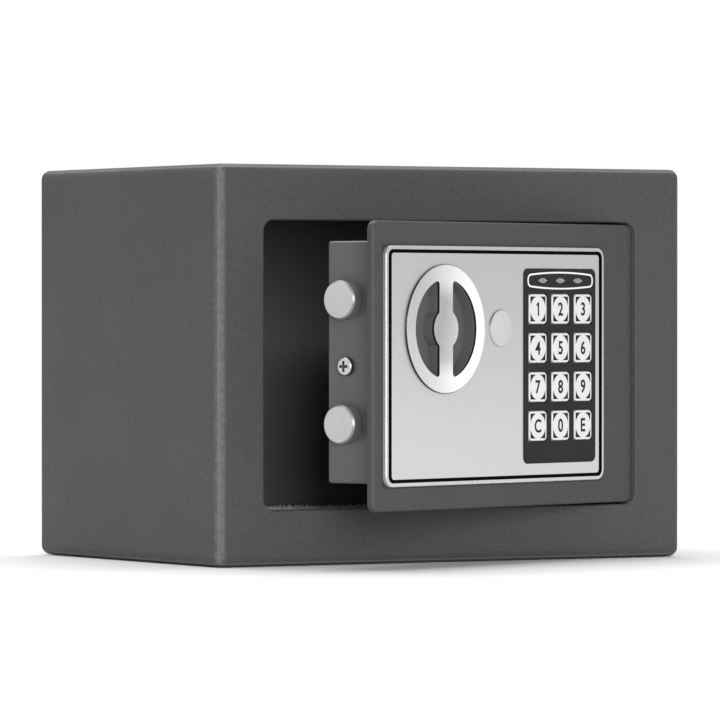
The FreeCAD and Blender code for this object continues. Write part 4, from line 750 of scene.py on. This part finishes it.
# %% Uneven board
mat_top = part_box("floor_mat")[1].z
BOARD_GRID, SETTLE_DEPTH, WAVE_RISE = 0.0026, 0.006, 0.0003
PILE_TALL, PILE_WIDE, PILE_SPACING = 0.0024, 0.0007, 0.0015
loose = bmesh.new()
loose.from_mesh(frame["nodes"]["floor_mat"].data)
bmesh.ops.remove_doubles(loose, verts=loose.verts, dist=1e-6)
board = bpy.data.meshes.new("carpet_board")
loose.to_mesh(board)
loose.free()
holder = bpy.data.objects.new("carpet_board", board)
scene.collection.objects.link(holder)
even = holder.modifiers.new("even", "REMESH")
even.mode, even.voxel_size = "VOXEL", BOARD_GRID
ready = bpy.context.evaluated_depsgraph_get()
carpet_base = bpy.data.meshes.new_from_object(holder.evaluated_get(ready), depsgraph=ready)
bpy.data.objects.remove(holder)
for v in carpet_base.vertices:
    near_top = max(0.0, 1 - (mat_top - v.co.z) / SETTLE_DEPTH)
    wave = noise.noise(v.co * 60) * 0.5 + noise.noise(v.co * 400) * 0.5
    v.co.z -= near_top * (PILE_TALL * 0.75 + WAVE_RISE * wave)
print("carpet base:", len(carpet_base.polygons), "faces")

# %% Pile
pile, given, result = new_group(
    "pile", "GeometryNodeTree",
    [("Base", "NodeSocketGeometry", None), ("Spacing", FLOAT, 0.0015), ("Tall", FLOAT, 0.0016),
     ("Wide", FLOAT, 0.0006), ("Seed", WHOLE, 7), ("Finish", "NodeSocketMaterial", None)],
    [("Carpet", "NodeSocketGeometry")])
level = put(pile, "ShaderNodeSeparateXYZ", {0: put(pile, "GeometryNodeInputNormal").outputs[0]}).outputs["Z"]
upward = put(pile, "FunctionNodeCompare", {0: level, 1: 0.8}, data_type="FLOAT", operation="GREATER_THAN")
spots = put(pile, "GeometryNodeDistributePointsOnFaces",
            {"Mesh": given["Base"], "Selection": upward.outputs[0], "Distance Min": given["Spacing"],
             "Density Max": 900000.0, "Seed": given["Seed"]}, distribute_method="POISSON")
tuft = put(pile, "GeometryNodeMeshCone", {"Vertices": 5, "Radius Top": 0.0, "Radius Bottom": given["Wide"],
                                          "Depth": given["Tall"]}, fill_type="NGON")
lean = put(pile, "FunctionNodeRandomValue",
           {0: (-0.5, -0.5, 0.0), 1: (0.5, 0.5, 6.28), "Seed": given["Seed"]}, data_type="FLOAT_VECTOR")
size = put(pile, "FunctionNodeRandomValue", {2: 0.75, 3: 1.2, "Seed": given["Seed"]}, data_type="FLOAT")
tufts = put(pile, "GeometryNodeInstanceOnPoints",
            {"Points": spots.outputs["Points"], "Instance": tuft.outputs["Mesh"], "Rotation": lean.outputs[0],
             "Scale": size.outputs[1]})
both = put(pile, "GeometryNodeJoinGeometry", {0: given["Base"]})
pile.links.new(tufts.outputs[0], both.inputs[0])
plain = put(pile, "GeometryNodeRealizeInstances", {0: both.outputs[0]})
named = put(pile, "GeometryNodeSetMaterial", {"Geometry": plain.outputs[0], "Material": given["Finish"]})
pile.links.new(named.outputs[0], result["Carpet"])
print("tree pile:", len(pile.nodes), "nodes")

# %% Carpet finish and piece
carpet_pile, tree, shader, place = start_finish("carpet_pile", on_door=False, Roughness=0.95,
                                                Specular_IOR_Level=0.1, Sheen_Weight=1.0)
fibre = put(tree, "ShaderNodeTexVoronoi", {"Vector": place, "Scale": 620.0})
shade = put(tree, "ShaderNodeSeparateColor", {0: fibre.outputs["Color"]}).outputs[0]
haze = place_group(tree, handling, {"Vector": place, "Patch": 0.05})["Haze"]
speckled = mix_colours(tree, ramp(tree, shade, 0.1, 0.4), (*grey(0.4), 1), (*grey(1.0), 1))
trodden = mix_colours(tree, maths(tree, "MULTIPLY", haze, 0.1), speckled, (*grey(0.7), 1))
tree.links.new(trodden, shader.inputs["Base Color"])
tufted = grown("carpet", carpet_base, pile, Spacing=PILE_SPACING, Tall=PILE_TALL, Wide=PILE_WIDE, Seed=7,
               Finish=carpet_pile)
carpet = piece("carpet", [tufted], Matrix.Identity(4), "case", carpet_pile)
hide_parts("floor_mat")
carpet.data.calc_loop_triangles()
print("carpet:", len(carpet.data.loop_triangles), "triangles")

# %% [markdown]
# ## Studio
# A product picture on white: a pale floor that fades out before its edge can be seen, a world that
# is white to the camera and to reflections but gives only part of the light, and two large soft
# lamps. The view transform stays Standard, so a grey comes out close to the grey that was written.

# %% Floor
FLOOR_RADIUS, FLOOR_SIDES, FLOOR_Z = 0.75, 96, -0.0003
turns = [2 * math.pi * i / FLOOR_SIDES for i in range(FLOOR_SIDES)]
ring = [(FLOOR_RADIUS * math.cos(a), FLOOR_RADIUS * math.sin(a), FLOOR_Z) for a in turns]
floor = bpy.data.objects.new("studio_floor", mesh_from("studio_floor", ring, [tuple(range(FLOOR_SIDES))]))
scene.collection.objects.link(floor)
floor_paper, tree, shader, place = start_finish("floor_paper", on_door=False, Roughness=1.0,
                                                Specular_IOR_Level=0.0)
away = put(tree, "ShaderNodeVectorMath", {0: place}, operation="LENGTH").outputs["Value"]
fibres = put(tree, "ShaderNodeTexNoise", {"Vector": place, "Scale": 300.0})
colour(tree, shader, fibres.outputs["Fac"], grey(0.90), grey(0.94))
tree.links.new(ramp(tree, away, 0.30, 0.70, 1.0, 0.0), shader.inputs["Alpha"])
floor.data.materials.append(floor_paper)
print("floor: paper disc, fading out")

# %% World and lamps
AMBIENT = 0.36  # share of the white room that lights the safe
world = bpy.data.worlds.new("studio_white")
scene.world = world
world.use_nodes = True
sky = world.node_tree.nodes["Background"]
sky.inputs["Color"].default_value = (1, 1, 1, 1)
ray = put(world.node_tree, "ShaderNodeLightPath").outputs
seen = maths(world.node_tree, "MAXIMUM", maths(world.node_tree, "MAXIMUM", ray["Is Camera Ray"],
                                               ray["Is Glossy Ray"]), ray["Is Transmission Ray"])
world.node_tree.links.new(ramp(world.node_tree, seen, 0.0, 1.0, AMBIENT, 1.0), sky.inputs["Strength"])


def softbox(name, place, aim, width, power):
    """A large square lamp at a place, turned towards a point."""
    lamp = bpy.data.lights.new(name, "AREA")
    lamp.shape, lamp.size, lamp.energy = "SQUARE", width, power
    holder = bpy.data.objects.new(name, lamp)
    holder.location = place
    holder.rotation_euler = (Vector(aim) - Vector(place)).to_track_quat("-Z", "Y").to_euler()
    holder.visible_camera = False
    scene.collection.objects.link(holder)


softbox("front_lamp", (-0.88, -2.45, 0.45), aim=(0, 0, 0.09), width=0.9, power=46)
softbox("top_lamp", (0.1, 0.5, 1.9), aim=(0, 0, 0), width=1.8, power=40)

# %% [markdown]
# ## Camera
# The picture was taken level, from the left of the front, with a long lens, so the case's edges
# hardly converge.

# %% Camera
lens_data = bpy.data.cameras.new("picture_camera")
lens_data.lens, lens_data.sensor_width = 297.85, 36.0
camera = bpy.data.objects.new("picture_camera", lens_data)
camera.location = (-1.33027, -2.27209, 0.108455)
camera.rotation_euler = (math.radians(89.515), 0, math.radians(-30.365))
scene.collection.objects.link(camera)
scene.camera = camera
scene.view_settings.view_transform = "Standard"
print("camera at", [round(c, 3) for c in camera.location])
